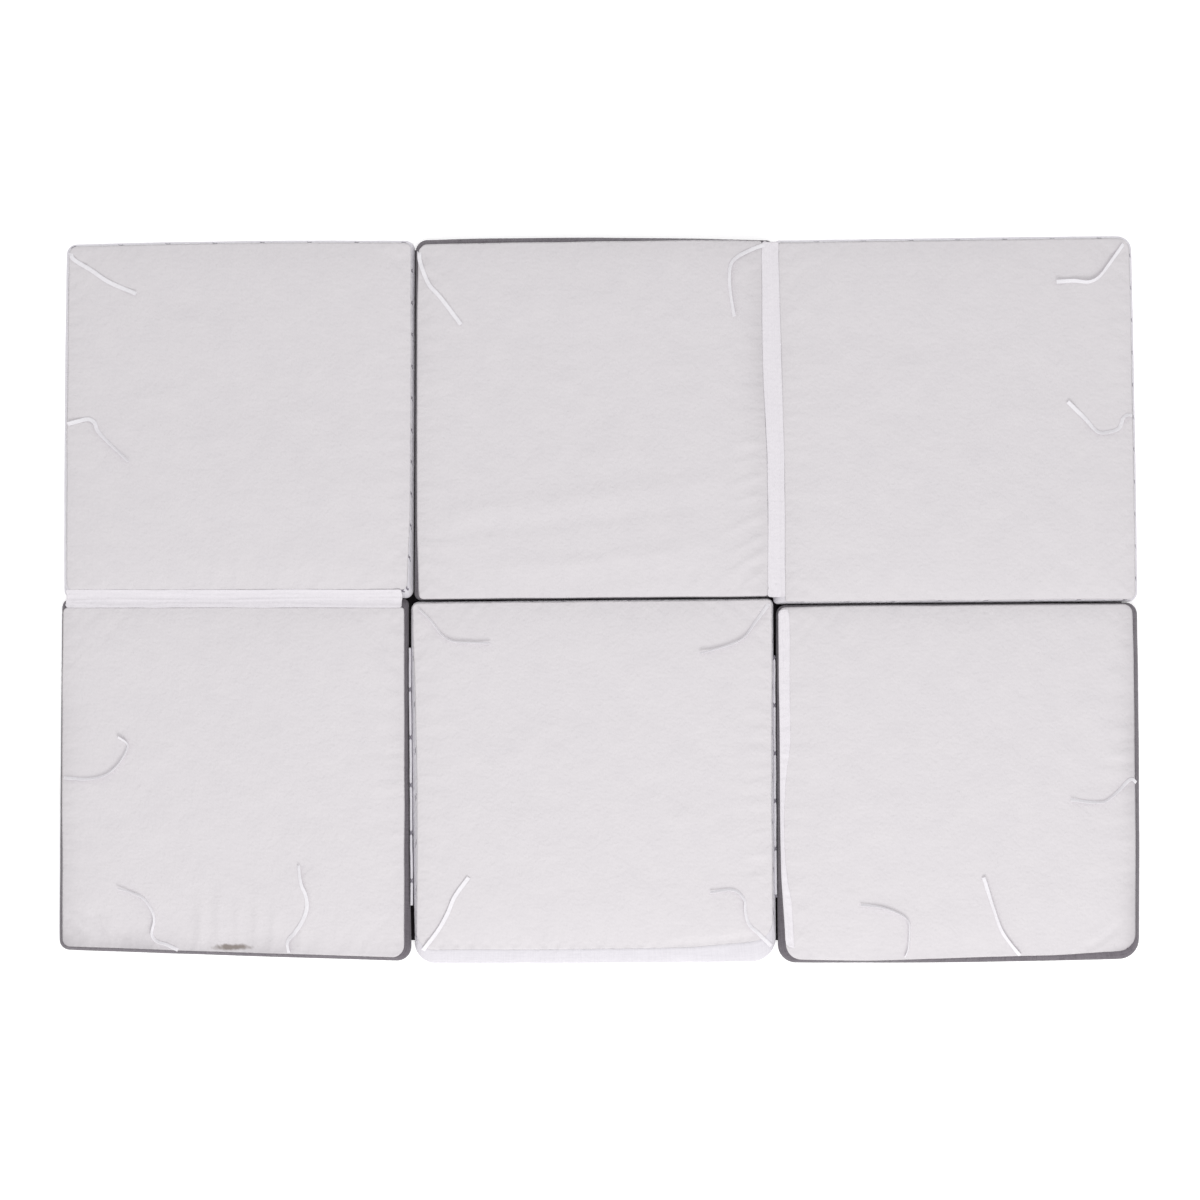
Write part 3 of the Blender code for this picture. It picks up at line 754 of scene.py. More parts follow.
def new_material(name, values):
    """A new material and its shader, whose constants are set on the shader's own sockets."""
    material = bpy.data.materials.new(name)
    material.use_nodes = True
    shader = material.node_tree.nodes["Principled BSDF"]
    for socket, value in values.items():
        shader.inputs[socket].default_value = value
    return material, shader


def add(tree, kind, inputs, output=0, **settings):
    """Adds a shader node with its settings and its inputs, by name or in order. An input is another node's
    socket or a plain value. Returns the output asked for."""
    node = tree.nodes.new("ShaderNode" + kind)
    for name, value in settings.items():
        setattr(node, name, value)
    for key, value in inputs.items() if isinstance(inputs, dict) else enumerate(inputs):
        if isinstance(value, bpy.types.NodeSocket):
            tree.links.new(value, node.inputs[key])
        else:
            node.inputs[key].default_value = value
    return node.outputs[output]


def woven_colour(tree, shader, cotton, colours):
    """The weave of plain cotton in a shader, and its colour so far.

    Threads are a grid of small humps, one sine times another, drawn coarser than the real 0.4 mm so that they
    show. Uneven yarns are noise stretched along and across, and broad noise shades the cloth. The eye sees a
    dry matt cloth with faint streaks both ways.
    """
    cloth = add(tree, "TexCoord", (), "UV")
    streaks = []
    for stretch in ((1 / (2.6 * MM), 1 / (55 * MM), 1.0), (1 / (60 * MM), 1 / (2.4 * MM), 1.0)):
        yarns = add(tree, "Mapping", {"Vector": cloth, "Scale": stretch})
        streaks.append(add(tree, "TexNoise", {"Vector": yarns, "Scale": 1.0, "Detail": 2.0,
                                              "Roughness": 0.5}))
    slub = add(tree, "Math", streaks, operation="ADD")
    broad = add(tree, "TexNoise", {"Vector": cloth, "Scale": 1 / (38 * MM), "Detail": 3.0})
    broad = add(tree, "Math", (broad, 0.9, -0.2), operation="MULTIPLY_ADD")
    tone = add(tree, "Math", (slub, cotton.slubs, -cotton.slubs), operation="MULTIPLY_ADD")
    tone = add(tree, "Math", (tone, broad), operation="ADD", use_clamp=True)
    waves = []
    for place in add(tree, "SeparateXYZ", (cloth,)).node.outputs[:2]:
        turns = add(tree, "Math", (place, math.tau / (cotton.thread * MM)), operation="MULTIPLY")
        waves.append(add(tree, "Math", (turns,), operation="SINE"))
    height = add(tree, "Math", waves, operation="MULTIPLY")
    height = add(tree, "Math", (slub, 1.4, height), operation="MULTIPLY_ADD")
    for size, tall in RUMPLES:
        rumple = add(tree, "TexNoise", {"Vector": cloth, "Scale": 1 / (size * MM), "Detail": 1.0})
        height = add(tree, "Math", (rumple, tall / cotton.relief, height), operation="MULTIPLY_ADD")
    bump = add(tree, "Bump", {"Height": height, "Strength": 1.0, "Distance": cotton.relief * MM})
    tree.links.new(bump, shader.inputs["Normal"])
    return add(tree, "Mix", {0: tone, 6: getattr(colours, cotton.colour), 7: getattr(colours, cotton.dark)},
               2, data_type="RGBA")


def smudge_share(tree):
    """How strong an old stain by the lower seam is: the distance in an ellipse, roughened by noise, mapped by
    smoothstep. It shows as a dry yellowish-grey smudge, darker at its middle."""
    place = add(tree, "TexCoord", (), "Object")
    scale = [1 / reach for reach in STAIN_REACH]
    shift = [-middle * size for middle, size in zip(STAIN_CENTRE, scale)]
    moved = add(tree, "Mapping", {"Vector": place, "Scale": (*scale, 0.0), "Location": (*shift, 0.0)})
    away = add(tree, "VectorMath", (moved,), "Value", operation="LENGTH")
    ragged = add(tree, "TexNoise", {"Vector": place, "Scale": 1 / (9 * MM), "Detail": 4.0})
    away = add(tree, "Math", (ragged, 1.1, away), operation="MULTIPLY_ADD")
    return add(tree, "MapRange", {"Value": away, "From Min": 1.75, "From Max": 0.9, "To Min": 0.0,
                                  "To Max": STAIN_STRENGTH}, interpolation_type="SMOOTHSTEP")


def ink_share(tree):
    """Where a small two-stroke sprig is printed, every second row set over by half a step: each stroke is a
    turned box's distance, and the nearer one counts."""
    places = add(tree, "SeparateXYZ", (add(tree, "TexCoord", (), "UV"),)).node.outputs[:2]
    steps = [size * MM for size in PRINT_STEP]
    across, up = (add(tree, "Math", pair, operation="DIVIDE") for pair in zip(places, steps))
    row = add(tree, "Math", (up,), operation="FLOOR")
    across = add(tree, "Math", (row, 0.5, across), operation="MULTIPLY_ADD")
    local = []
    for part, size in zip((across, up), steps):
        part = add(tree, "Math", (part,), operation="FRACT")
        local.append(add(tree, "Math", (part, size, -size / 2), operation="MULTIPLY_ADD"))
    cell = add(tree, "CombineXYZ", local)
    strokes = []
    for angle, half_length in SPRIG:
        turned = add(tree, "VectorRotate", {"Vector": cell, "Angle": angle}, rotation_type="Z_AXIS")
        size = add(tree, "VectorMath", (turned,), operation="ABSOLUTE")
        past = add(tree, "VectorMath", (size, (half_length, STROKE_HALF_WIDTH, 0.0)), operation="SUBTRACT")
        parts = add(tree, "SeparateXYZ", (past,)).node.outputs[:2]
        strokes.append(add(tree, "Math", parts, operation="MAXIMUM"))
    inside = add(tree, "Math", strokes, operation="MINIMUM")
    return add(tree, "MapRange", {"Value": inside, "From Min": 0.5 * MM, "From Max": -0.4 * MM, "To Min": 0.0,
                                  "To Max": 0.9})


@lru_cache(maxsize=None)
def finish_of(key):
    """The finish of that name, made once: woven cotton, painted shade along a white panel's seams that is
    partly the dark seam allowance showing through it, and what is printed or spilt on it."""
    colours = bpy.context.scene.play_mat_colours
    cotton = COTTONS[key]
    material, shader = new_material(cotton.name, {"Roughness": cotton.roughness, "IOR": 1.46,
                                                  "Sheen Weight": cotton.sheen, "Sheen Roughness": 0.6})
    tree = material.node_tree
    base = woven_colour(tree, shader, cotton, colours)
    layers = []
    # Back panels: painted shade along the seams, mixed towards the charcoal shade colour.
    if cotton.colour == "calico":
        layers.append((add(tree, "Attribute", (), "Fac", attribute_name="Through"), colours.charcoal_shade))
    if key == "stained":
        layers.append((smudge_share(tree), colours.stain))
    if key == "print":
        layers.append((ink_share(tree), colours.ink))
    for share, colour in layers:
        base = add(tree, "Mix", {0: share, 6: base, 7: colour}, 2, data_type="RGBA")
    tree.links.new(base, shader.inputs["Base Color"])
    return material


def make_filled_pad(pad):
    """The filled pad with its front panel, a closed form: the back's crown a little under the back panel, the
    side a little inside the band, the front seam, and a front panel that is flat where it rests."""
    under = back_surface(pad)[::PAD_EVERY, ::PAD_EVERY].copy()
    rows = len(under)
    under[..., 2] -= BACK_OVER_FILLING
    centre = under[..., :2].mean(axis=(0, 1))
    drawn = 1.0 - BACK_OVER_FILLING / np.linalg.norm(under[..., :2] - centre, axis=-1).max() * DRAWN_IN
    under[..., :2] = centre + (under[..., :2] - centre) * drawn
    band = band_surface(pad)
    rings = []
    for z in FILLING_RINGS_Z:
        level = band[np.abs(band[:, 0, 2] - z).argmin(), ::PAD_EVERY, :2]
        rings.append(np.column_stack([level + inward_of(level) * BAND_OVER_FILLING, np.full(len(level), z)]))
    front = loop_of(inset_curves(pad, FRONT_SEAM_INSET / MM))[::PAD_EVERY]
    rings.append(np.column_stack([front, np.full(len(front), FRONT_SEAM_Z)]))
    face = patch(inset_curves(pad, FRONT_SEAM_INSET / MM + 0.8))[::PAD_EVERY, ::PAD_EVERY]
    away = runs_of(face)
    resting = eased(UNDERSIDE_INSET - FRONT_SEAM_INSET, np.minimum.reduce(away))
    lift = (FRONT_SEAM_Z - 0.4 * MM) * (1.0 - resting) + REST_Z
    for side, run in enumerate(away):
        puckers = gathers(face[..., side % 2], 16.0 * MM, 900 + side)
        lift = lift + 0.5 * MM * (1.0 + puckers) * bell(run, 5.0 * MM) / 2
    face = np.concatenate([face, np.maximum(lift, REST_Z)[..., None]], axis=-1)
    points = np.concatenate([under.reshape(-1, 3), *rings, face.reshape(-1, 3)])
    border = border_index(rows, rows)
    first, count = rows * rows, len(border)
    last = first + count * len(rings)
    loops = [border, *(first + count * ring + np.arange(count) for ring in range(len(rings))), last + border]
    walls = [joined(above, below) for above, below in zip(loops[:-1], loops[1:])]
    top = quads_of(rows, rows)
    quads = np.concatenate([top, *walls, top[:, ::-1] + last])
    mesh = made_mesh(f"filled_pad_{pad.number}", points, quads, points[quads][..., :2])
    piece = added(mesh.name, mesh, finish_of(pad.cloth), f"pad_{pad.number}")


def band_pattern(pad, widest, down, quads, count):
    """Cloth coordinates of a band's cells. The print keeps one direction all round the pad: on the lower and
    the upper side it follows x and the way down, on the other two the way down and y. Pad 5 has it turned."""
    side = (quads[:, 0] % count) // GRID
    starts, under = (np.array(places.get(pad.number, (0.0,) * 4))[side][:, None]
                     for places in (PRINT_STARTS, PRINT_UNDER_SEAM))
    level = (side % 2 == 0)[:, None]
    along_first = level != (pad.number == 5)
    place = widest[quads % count]
    along = np.where(level, place[..., 0], place[..., 1]) + starts * MM
    across = np.where(along_first, PRINT_STEP[1] / 2, PRINT_STEP[0] / 2) - under
    fallen = down[quads // count] + across * MM
    return np.stack([np.where(along_first, along, fallen), np.where(along_first, fallen, along)], axis=-1)


def make_side_band(pad):
    """The side band as a sheet, its raw edges turned in at both seams."""
    rows = band_surface(pad)
    edges = turned_in(rows[0], -TURNED_DOWN), turned_in(rows[-1], TURNED_DOWN)
    rows = np.concatenate([edges[0][None], rows, edges[1][None]])
    count = rows.shape[1]
    widest = loop_of(inset_curves(pad, 0.0))
    down = run_along(rows[:, 0]) - SEAM_ALLOWANCE
    quads = quads_of(len(rows), count, closed=True)
    flat = band_pattern(pad, widest, down, quads, count)
    mesh = made_mesh(f"side_band_{pad.number}", rows.reshape(-1, 3), quads[:, ::-1], flat[:, ::-1])
    piece = added(mesh.name, mesh, finish_of(pad.cloth), f"band_{pad.number}")


def painted_seam_shade(pad, grid):
    """Painted shade on the white panel along its seams, partly the dark seam allowance showing through: most
    at each seam, a bell curve of the distance from it, uneven along it."""
    painted_shade = np.zeros(grid.shape[:2])
    for side, run in enumerate(runs_of(grid)):
        along = grid[..., side % 2]
        share = np.linspace(0.0, 1.0, GRID + 1)[::1 if side < 2 else -1]
        strength = profiled(pad.through[side], share)
        strength = strength[None, :] if side % 2 == 0 else strength[:, None]
        uneven = 0.85 + 0.35 * clouds(along, 0.0, 70 * MM, 40 * pad.number + side)
        painted_shade += strength * uneven * np.exp(-((run / (pad.reach * MM)) ** 1.4))
    return np.maximum(painted_shade, 0.0)


def make_back_panel(pad):
    """The white back panel as a sheet, its raw edge turned in at the seam."""
    grid = back_surface(pad)
    rows = len(grid)
    border = border_index(rows, rows)
    points = grid.reshape(-1, 3)
    ring = len(points) + np.arange(len(border))
    points = np.concatenate([points, turned_in(points[border], -TURNED_DOWN)])
    quads = np.concatenate([quads_of(rows, rows), joined(border, ring)])
    mesh = made_mesh(f"back_panel_{pad.number}", points, quads, points[quads][..., :2])
    # Painted shade along the seams, kept on each point for the finish.
    painted_shade = painted_seam_shade(pad, grid).ravel()
    painted_shade = np.concatenate([painted_shade, painted_shade[border]])
    mesh.attributes.new("Through", "FLOAT", "POINT").data.foreach_set("value", painted_shade.astype(np.float32))
    finish = finish_of("stained" if pad.number == STAINED_PAD else "calico")
    piece = added(mesh.name, mesh, finish, f"back_{pad.number}")
    flat = [float(np.linalg.norm(side[-1] - side[0]) + PANEL_SPARE) for side in seam_sides(pad)[:2]]


def pleated(across, run, length, seed):
    """Lengthwise pleats of a strip: soft ridges that wander, come and go, and bunch up near both ends."""
    lift = np.zeros(np.broadcast(across, run).shape)
    for index, pleat in enumerate(PLEATS):
        where = pleat.across + 0.16 * clouds(run, 0.0, 90 * MM, seed + index)
        strength = 0.65 + 0.5 * clouds(run, 0.0, 60 * MM, seed + 10 + index)
        lift = lift + pleat.height * strength * np.exp(-(((across - where) / pleat.width) ** 2))
    bunched = 1.0 - eased(30 * MM, np.minimum(run, length - run))
    wide = across * 14 * MM
    crumple = clouds(run, wide, 8 * MM, seed + 20) + 0.5 * clouds(run, wide, 4 * MM, seed)
    return lift + bunched * 0.8 * MM * crumple + 0.25 * MM * clouds(run, wide, 18 * MM, seed + 30)


def over_cells(values, grid, quads):
    """Two rows or columns of values as the cloth coordinates of a grid's cells."""
    spread = [np.broadcast_to(value, grid.shape[:2]) for value in values]
    return np.stack(spread, axis=-1).reshape(-1, 2)[quads]


def strip_mesh(name, rows, run, across):
    """A sheet of rows along a strip, with its cloth coordinates."""
    quads = quads_of(*rows.shape[:2])
    return made_mesh(name, rows.reshape(-1, 3), quads, over_cells((run, across), rows, quads))


def seam_line(pad, side, places):
    """Where the straight part of a pad's back seam is, across its side and in height, at places along it."""
    axis = side % 2
    points = seam_sides(pad)[side]
    points = points[np.argsort(points[:, axis])]
    inner = np.clip(places, points[0, axis] + SEAM_END, points[-1, axis] - SEAM_END)
    return [np.interp(inner, points[:, axis], points[:, other]) for other in (1 - axis, 2)]


def make_hinge_strip(strip):
    """A white strip over a valley, sewn a little over both seams: its height sags between them as
    1 - across^2, pleats lie on that, and its ends are rounded by a circle and a little ragged."""
    level = strip.left[1] % 2 == 0
    places = np.linspace(strip.start, strip.end, 321) * MM
    (left, left_z), (right, right_z) = (seam_line(PADS[number - 1], side, places)
                                        for number, side in (strip.left, strip.right))
    across = np.linspace(1.0, -1.0, 33)[None]
    near_left = (1.0 + across) / 2
    run = (places - places[0])[:, None]
    length = float(run[-1, 0])
    from_end = np.minimum(run, length - run)
    ended = 1.0 - np.sqrt(1.0 - (1.0 - np.clip(from_end / STRIP_ROUND, 0.0, 1.0)) ** 2)
    side = (1.0 if level else -1.0) * (STRIP_OVERLAP - STRIP_ROUND * ended) * across
    side = side + left[:, None] * near_left + right[:, None] * (1.0 - near_left)
    side = side + 0.3 * MM * clouds(run, 0.0, 30 * MM, strip.seed + 7) * across**2
    sag = strip.sag * MM * (1.0 + 0.12 * clouds(run, 0.0, 75 * MM, strip.seed + 5))
    z = left_z[:, None] * near_left + right_z[:, None] * (1.0 - near_left) + STRIP_OVER_SEAM
    z = z - sag * (1.0 - across**2) - EDGE_DROP * across**10 + pleated(across, run, length, strip.seed)
    ragged = 1.6 * MM * clouds(across * 9 * MM, 0.0, 4 * MM, strip.seed + 8)
    along = places[:, None] + ragged * (1.0 - eased(24 * MM, from_end))
    rows = np.stack([along, side, z] if level else [side, along, z], axis=-1)
    width = float(np.abs(left - right).mean() + 2 * STRIP_OVERLAP)
    mesh = strip_mesh(strip.node.replace("hinge", "hinge_strip"), rows, run, (1.0 - across) * width / 2)
    piece = thickened(added(mesh.name, mesh, finish_of("strip"), strip.node))


def make_edge_strip():
    """The white strip along the left seam of pad 6: the back panel's own surface read between the seam and
    the strip's right edge, lifted a little. It narrows to a roll where it is pinched."""
    pad = PADS[5]
    surface = back_surface(pad)
    row = np.linspace(*EDGE_STRIP_SPAN, 301) * GRID
    below = np.clip(np.floor(row).astype(int), 0, GRID - 1)
    part = (row - below)[:, None, None]
    lines = surface[below] * (1.0 - part) + surface[below + 1] * part
    y = lines[:, 2, 1]
    right = np.interp(-y, *(np.array(EDGE_STRIP_RIGHT).T * MM * ((-1,), (1,))))
    right = softened(right, 12) + 0.4 * MM * clouds(y, 0.0, 25 * MM, 51)
    left = np.maximum(seam_line(pad, 3, y)[0] + EDGE_STRIP_IN, lines[:, 0, 0] + EDGE_STRIP_IN)
    across = np.linspace(0.0, 1.0, 25)
    x = left[:, None] + (right - left)[:, None] * across
    rows = np.array([np.stack([places, np.interp(places, line[:, 0], line[:, 1]),
                               np.interp(places, line[:, 0], line[:, 2])], axis=1)
                     for places, line in zip(x, lines)])
    run = (y[0] - y)[:, None]
    narrow = 1.0 - eased(16 * MM, (right - left)[:, None] - 4 * MM)
    rolled = 1.6 * MM * narrow * np.sin(math.pi * across[None]) ** 0.8
    rows[..., 2] += EDGE_STRIP_OVER * (1.0 - 0.9 * eased(1.0, across[None])) + rolled
    rows[..., 2] += 0.9 * pleated(2 * across[None] - 1, run, float(run[-1, 0]), 52)
    mesh = strip_mesh("edge_strip_on_pad_6", rows, run, x - left[:, None])
    piece = thickened(added(mesh.name, mesh, finish_of("strip"), "edge_strip_6"))


def make_joining_strip(fold):
    """A print-cloth strip folded double on edge: down one leg, a half circle on top and down the other leg,
    its top uneven and its whole section wandering sideways."""
    start, end = np.array((fold.start, fold.end)) * MM
    length = float(np.linalg.norm(end - start))
    ahead = (end - start) / length
    left = np.array([-ahead[1], ahead[0]])
    run = np.linspace(0.0, length, 221)[:, None]
    turn = np.linspace(0.0, 1.0, 25)[None]
    angle = math.pi * np.clip((turn - 0.3) / 0.4, 0.0, 1.0)
    leg = np.clip(turn / 0.3, 0.0, 1.0) - np.clip((turn - 0.7) / 0.3, 0.0, 1.0)
    top = fold.top * MM + fold.lift * MM * clouds(run, 0.0, 70 * MM, fold.seed)
    top = top + 0.6 * MM * clouds(run, 0.0, 14 * MM, fold.seed + 1)
    spring = top - FOLD_HALF_WIDTH
    z = FOLD_BOTTOM_Z + (spring - FOLD_BOTTOM_Z) * leg + FOLD_HALF_WIDTH * np.sin(angle)
    side = FOLD_HALF_WIDTH * np.cos(angle)
    side = side + 0.35 * MM * clouds(run, 0.0, 35 * MM, fold.seed + 2)
    side = side + 0.15 * MM * clouds(run, z, 9 * MM, fold.seed + 3)
    place = start + ahead * run[..., None] + left * side[..., None]
    rows = np.concatenate([place, np.broadcast_to(z, side.shape)[..., None]], axis=-1)
    across = run_along(rows[0])
    pattern = run + (start[1] + fold.pattern * MM)
    middle = across[None] - across[-1] / 2 + PRINT_STEP[1] * MM / 2
    mesh = strip_mesh(f"folded_{fold.node}", rows, pattern, middle)
    piece = thickened(added(mesh.name, mesh, finish_of("print"), fold.node))


def smooth_route(points, count):
    """A smooth curve through the points of a route (Catmull-Rom), read at even distances."""
    known = np.array(points, float) * MM
    ends = np.concatenate([[2 * known[0] - known[1]], known, [2 * known[-1] - known[-2]]])
    t = np.linspace(0.0, 1.0, 16, endpoint=False)[:, None, None]
    a, b, c, d = ends[:-3], ends[1:-2], ends[2:-1], ends[3:]
    fine = 0.5 * (2 * b + (c - a) * t + (2 * a - 5 * b + 4 * c - d) * t**2 + (3 * b - a - 3 * c + d) * t**3)
    fine = np.concatenate([fine.transpose(1, 0, 2).reshape(-1, 2), known[-1:]])
    return resampled(fine, np.linspace(0.0, 1.0, count))


def highest_near(points, places, reach):
    """The greatest height among points within reach of each place, or the nearest one's."""
    away = np.hypot(*(places[:, None] - points[None, :, :2]).transpose(2, 0, 1))
    heights = np.where(away <= reach, points[None, :, 2], -1.0).max(axis=1)
    return np.where(heights < 0, points[away.argmin(axis=1), 2], heights)


def cloth_points(low, high):
    """The points of the sheets that a tie may lie on, inside a rectangle."""
    found = []
    for piece in bpy.data.objects:
        if piece.name.startswith(("back_panel", "side_band", "hinge_strip", "edge_strip_on")):
            flat = np.zeros(len(piece.data.vertices) * 3, np.float32)
            piece.data.vertices.foreach_get("co", flat)
            points = flat.reshape(-1, 3).astype(float)
            inside = ((points[:, :2] > low) & (points[:, :2] < high)).all(axis=1)
            found.append(points[inside])
    return np.concatenate(found)


def rounded(wave, power):
    """A sine or cosine made fuller, its sign kept: it turns a circle into a tape's rounded flat section."""
    return np.sign(wave) * np.abs(wave) ** power


def make_tie(number, tie, width, thick):
    """A tape tie: a rounded flat section carried along its route, leaning over where the tape turns on edge.

    The middle line is as high as the cloth under the tape's two edges and middle asks, and the first few
    millimetres sink into the seam."""
    flat = smooth_route(tie.route, TIE_STATIONS)
    ahead = np.gradient(flat, axis=0)
    ahead /= np.linalg.norm(ahead, axis=1)[:, None]
    left = np.stack([-ahead[:, 1], ahead[:, 0]], axis=1)
    share = np.linspace(0.0, 1.0, TIE_STATIONS)
    run = run_along(flat)
    lean = np.interp(share, (0.0, 0.5, 1.0), tie.leans) + 7.0 * clouds(run, 0.0, 24 * MM, 300 + number)
    lean = np.radians(softened(lean, 6))
    cloth = cloth_points(flat.min(axis=0) - TIE_MARGIN, flat.max(axis=0) + TIE_MARGIN)
    need = np.zeros(TIE_STATIONS)
    for edge in (-1.0, 0.0, 1.0):
        reach = edge * width / 2
        place = flat + left * (reach * np.cos(lean))[:, None]
        below = highest_near(cloth, place, TIE_REACH)
        need = np.maximum(need, below - reach * np.sin(lean) + thick / 2 * np.cos(lean) + TIE_CLEAR)
    height = np.maximum(softened(need, 8), softened(need, 1) - 0.2 * MM)
    height = height - (1.0 - eased(SEWN_IN, run)) * SEWN_DOWN
    height = height + FREE_END_LIFT * eased(0.15, share - 0.85) * (1.0 + (number % 3))
    angle = math.tau * (np.arange(TIE_SECTION) + 0.5) / TIE_SECTION
    across = width / 2 * rounded(np.cos(angle), 0.45)
    through = thick / 2 * rounded(np.sin(angle), 0.6)
    side = across * np.cos(lean)[:, None] - through * np.sin(lean)[:, None]
    up = across * np.sin(lean)[:, None] + through * np.cos(lean)[:, None]
    place = flat[:, None] + left[:, None] * side[..., None]
    rows = np.concatenate([place, (height[:, None] + up)[..., None]], axis=-1)
    low = np.arange(TIE_SECTION // 2 - 1)
    cap = np.stack([low, low + 1, TIE_SECTION - 2 - low, TIE_SECTION - 1 - low], axis=1)
    last = (TIE_STATIONS - 1) * TIE_SECTION
    quads = np.concatenate([quads_of(TIE_STATIONS, TIE_SECTION, closed=True), cap[:, ::-1], cap + last])
    pattern = over_cells((run[:, None], across), rows, quads)
    mesh = made_mesh(f"tape_tie_{number:02d}", rows.reshape(-1, 3), quads, pattern)
    mesh.set_sharp_from_angle(angle=math.radians(55))
    piece = added(mesh.name, mesh, finish_of("tape"), f"tie_{number:02d}")


def paper(name, glow, hexes):
    """Matt background paper. Past the mat it is lit from below as well, so that it photographs white. Under
    the gaps it is dark paper, painted shade."""
    return new_material(name, {"Base Color": linear(hexes), "Roughness": 0.95, "Specular IOR Level": 0.1,
                               "Emission Color": (1.0, 1.0, 1.0, 1.0), "Emission Strength": glow})[0]


def make_floor(glow):
    """The floor: one flat grid, its cells under the gaps dark paper as painted shade and the others lit."""
    x, y = np.meshgrid(FLOOR_X, FLOOR_Y)
    quads = quads_of(*x.shape)
    points = np.stack([x, y, 0.0 * x], axis=-1).reshape(-1, 3)
    mesh = made_mesh("floor", points, quads, points[quads][..., :2])
    row, column = np.divmod(np.arange(len(quads)), len(FLOOR_X) - 1)
    under = (row > 0) & (row < len(FLOOR_Y) - 2) & (column > 0) & (column < len(FLOOR_X) - 2)
    painted_shade_cells = under & (np.isin(column, PAINTED_SHADE_COLUMNS) | (row == PAINTED_SHADE_ROW))
    mesh.materials.append(paper("matt_paper_lit_from_below", glow, "FAFAFA"))
    # Painted shade: dark paper under the gaps between pads.
    mesh.materials.append(paper("matt_paper_in_shade", 0.0, "2B272B"))
    mesh.polygons.foreach_set("material_index", painted_shade_cells.astype(np.int32))
    placed("floor", mesh)


def make_lights(light):
    """One large softbox beyond the photo's lower edge, and an even pale surround."""
    lamp = bpy.data.lights.new("softbox", "AREA")
    lamp.shape = "RECTANGLE"
    lamp.size, lamp.size_y = SOFTBOX_SIZE
    lamp.energy = light.softbox_power
    lamp.color = (1.0, 0.995, 0.99)
    softbox = placed("softbox", lamp)
    softbox.location = SOFTBOX_PLACE
    aim = Vector(SOFTBOX_AIM) - softbox.location
    softbox.rotation_euler = aim.to_track_quat("-Z", "Y").to_euler()
    world = bpy.data.worlds.new("pale_surround")
    world.use_nodes = True
    background = world.node_tree.nodes["Background"]
    background.inputs["Color"].default_value = (1.0, 1.0, 1.0, 1.0)
    background.inputs["Strength"].default_value = light.surround
    bpy.context.scene.world = world


def make_camera():
    """A long lens straight above, so that the frame is as wide as the view at the pads' backs."""
    lens = bpy.data.cameras.new("camera")
    lens.sensor_width = SENSOR
    lens.lens = LENS
    lens.clip_end = 50.0
    camera = placed("camera", lens)
    camera.location = (*VIEW_CENTRE, VIEW_PLANE_Z + VIEW_WIDTH * LENS / SENSOR)
    scene = bpy.context.scene
    scene.camera = camera
    scene.view_settings.view_transform = "Standard"
    scene.view_settings.look = "None"


class PlayMatTape(bpy.types.PropertyGroup):
    width: FloatProperty(name="Tape width", description="Width of the tape ties", default=6.8 * MM,
                         min=3.0 * MM, max=12.0 * MM, subtype="DISTANCE", unit="LENGTH")
    thick: FloatProperty(name="Tape thickness", description="Thickness of the tape ties", default=0.9 * MM,
                         min=0.3 * MM, max=2.0 * MM, subtype="DISTANCE", unit="LENGTH")


def colour_property(name, description, hexes):
    return FloatVectorProperty(name=name, description=description, default=linear(hexes), size=4,
                               min=0.0, max=1.0, subtype="COLOR")


class PlayMatColours(bpy.types.PropertyGroup):
    calico: colour_property("Calico", "Back panels", "DFDBDE")
    calico_shade: colour_property("Calico shade", "Thin places and slubs of the back panels", "D9D5D9")
    strip: colour_property("Strip", "Bleached cotton strips", "EAE6EB")
    strip_shade: colour_property("Strip shade", "Shaded yarns of the strips", "E4E0E6")
    tape: colour_property("Tape", "Cotton tape ties", "F3F1F5")
    charcoal: colour_property("Charcoal", "Charcoal cloth", "6A646B")
    # Also the colour that the painted shade along the back panels' seams darkens towards.
    charcoal_shade: colour_property("Charcoal shade", "Darker yarns of the charcoal cloth", "565057")
    print_ground: colour_property("Print ground", "Ground of the print cloth", "DEDBE1")
    print_shade: colour_property("Print shade", "Shaded yarns of the print cloth", "D4D1D7")
    ink: colour_property("Ink", "Printed sprigs", "625C6A")
    stain: colour_property("Stain", "Old stain on one back panel", "7C726C")


class PlayMatLight(bpy.types.PropertyGroup):
    softbox_power: FloatProperty(name="Softbox power", description="Power of the one large lamp",
                                 default=48.0, min=0.0, max=5000.0, unit="POWER")
    surround: FloatProperty(name="Surround", description="Strength of the pale surround",
                            default=0.81, min=0.0, max=2.0)
    floor_glow: FloatProperty(name="Floor glow", description="How much the floor is lit from below",
                              default=0.42, min=0.0, max=2.0)


def made_all(make, rows):
    """Makes one piece from each row of a table, for an operator's execute."""
    for row in rows:
        make(row)
    return {"FINISHED"}


class PLAYMAT_OT_stage(bpy.types.Operator):
    """Make the floor, the light and the camera"""
    bl_idname = "play_mat.stage"
    bl_label = "Stage"

    def execute(self, context):
        light = context.scene.play_mat_light
        make_camera()
        make_floor(light.floor_glow)
        make_lights(light)
        return {"FINISHED"}


class PLAYMAT_OT_filled_pads(bpy.types.Operator):
    """Make the six filled pads with their front panels"""
    bl_idname = "play_mat.filled_pads"
    bl_label = "Filled pads"

    def execute(self, context):
        return made_all(make_filled_pad, PADS)


class PLAYMAT_OT_side_bands(bpy.types.Operator):
    """Make the side band round each pad"""
    bl_idname = "play_mat.side_bands"
    bl_label = "Side bands"

    def execute(self, context):
        return made_all(make_side_band, PADS)


class PLAYMAT_OT_back_panels(bpy.types.Operator):
    """Make the white back panel of each pad"""
    bl_idname = "play_mat.back_panels"
    bl_label = "Back panels"

    def execute(self, context):
        return made_all(make_back_panel, PADS)


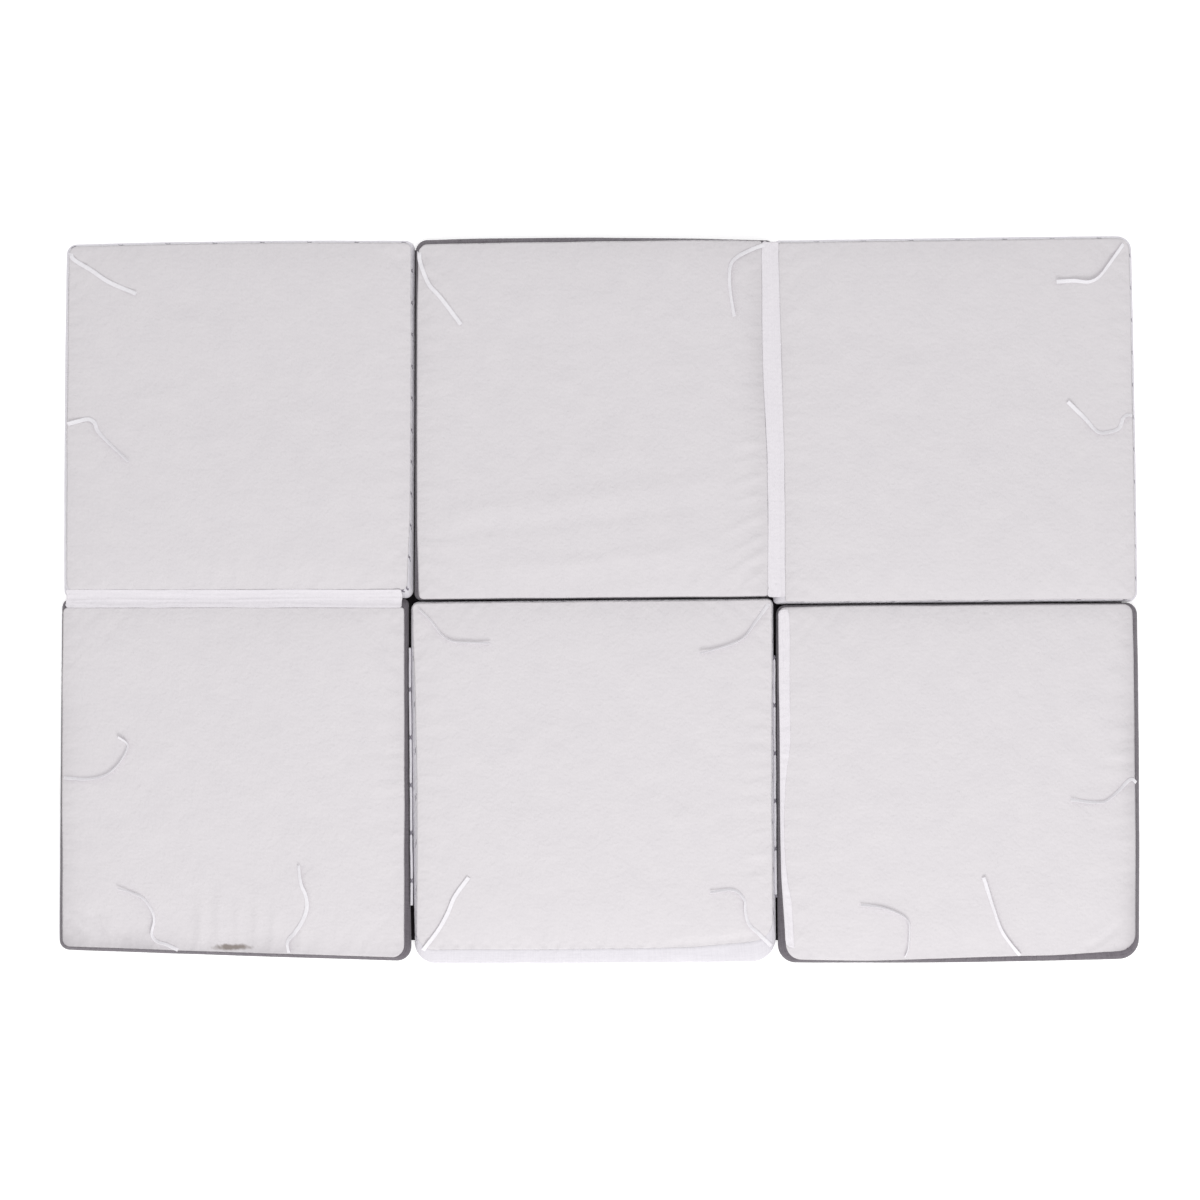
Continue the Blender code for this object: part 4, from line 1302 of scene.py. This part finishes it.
class PLAYMAT_OT_white_strips(bpy.types.Operator):
    """Make the two hinge strips and the edge strip"""
    bl_idname = "play_mat.white_strips"
    bl_label = "White strips"

    def execute(self, context):
        made_all(make_hinge_strip, HINGES)
        make_edge_strip()
        return {"FINISHED"}


class PLAYMAT_OT_joining_strips(bpy.types.Operator):
    """Make the print-cloth strips between pads"""
    bl_idname = "play_mat.joining_strips"
    bl_label = "Joining strips"

    def execute(self, context):
        return made_all(make_joining_strip, FOLDS)


class PLAYMAT_OT_tape_ties(bpy.types.Operator):
    """Lay the sixteen tape ties on the cloth"""
    bl_idname = "play_mat.tape_ties"
    bl_label = "Tape ties"

    def execute(self, context):
        if not any(piece.name.startswith("back_panel") for piece in bpy.data.objects):
            raise RuntimeError("the ties lie on the back panels, so make those first")
        tape = context.scene.play_mat_tape
        for number, tie in enumerate(TIES, 1):
            make_tie(number, tie, tape.width, tape.thick)
        return {"FINISHED"}


OPERATORS = (
    PLAYMAT_OT_stage,
    PLAYMAT_OT_filled_pads,
    PLAYMAT_OT_side_bands,
    PLAYMAT_OT_back_panels,
    PLAYMAT_OT_white_strips,
    PLAYMAT_OT_joining_strips,
    PLAYMAT_OT_tape_ties,
)
GROUPS = (
    ("play_mat_tape", PlayMatTape),
    ("play_mat_colours", PlayMatColours),
    ("play_mat_light", PlayMatLight),
)


class PLAYMAT_PT_panel(bpy.types.Panel):
    """Lists the mat's pieces and the sizes and colours that can be changed"""
    bl_idname = "PLAYMAT_PT_panel"
    bl_label = "Play Mat"
    bl_space_type = "VIEW_3D"
    bl_region_type = "UI"
    bl_category = "Play Mat"

    def draw(self, context):
        for operator in OPERATORS:
            self.layout.operator(operator.bl_idname)
        for name, group in GROUPS:
            box = self.layout.box()
            for key in group.__annotations__:
                box.prop(getattr(context.scene, name), key)


def register():
    for name, group in GROUPS:
        bpy.utils.register_class(group)
        setattr(bpy.types.Scene, name, PointerProperty(type=group))
    for kind in (*OPERATORS, PLAYMAT_PT_panel):
        bpy.utils.register_class(kind)


def unregister():
    for kind in reversed((*OPERATORS, PLAYMAT_PT_panel)):
        bpy.utils.unregister_class(kind)
    for name, group in reversed(GROUPS):
        delattr(bpy.types.Scene, name)
        bpy.utils.unregister_class(group)


def main():
    register()
    bpy.ops.play_mat.stage()
    bpy.ops.play_mat.filled_pads()
    bpy.ops.play_mat.side_bands()
    bpy.ops.play_mat.back_panels()
    bpy.ops.play_mat.white_strips()
    bpy.ops.play_mat.joining_strips()
    bpy.ops.play_mat.tape_ties()


if __name__ == "__main__":
    main()
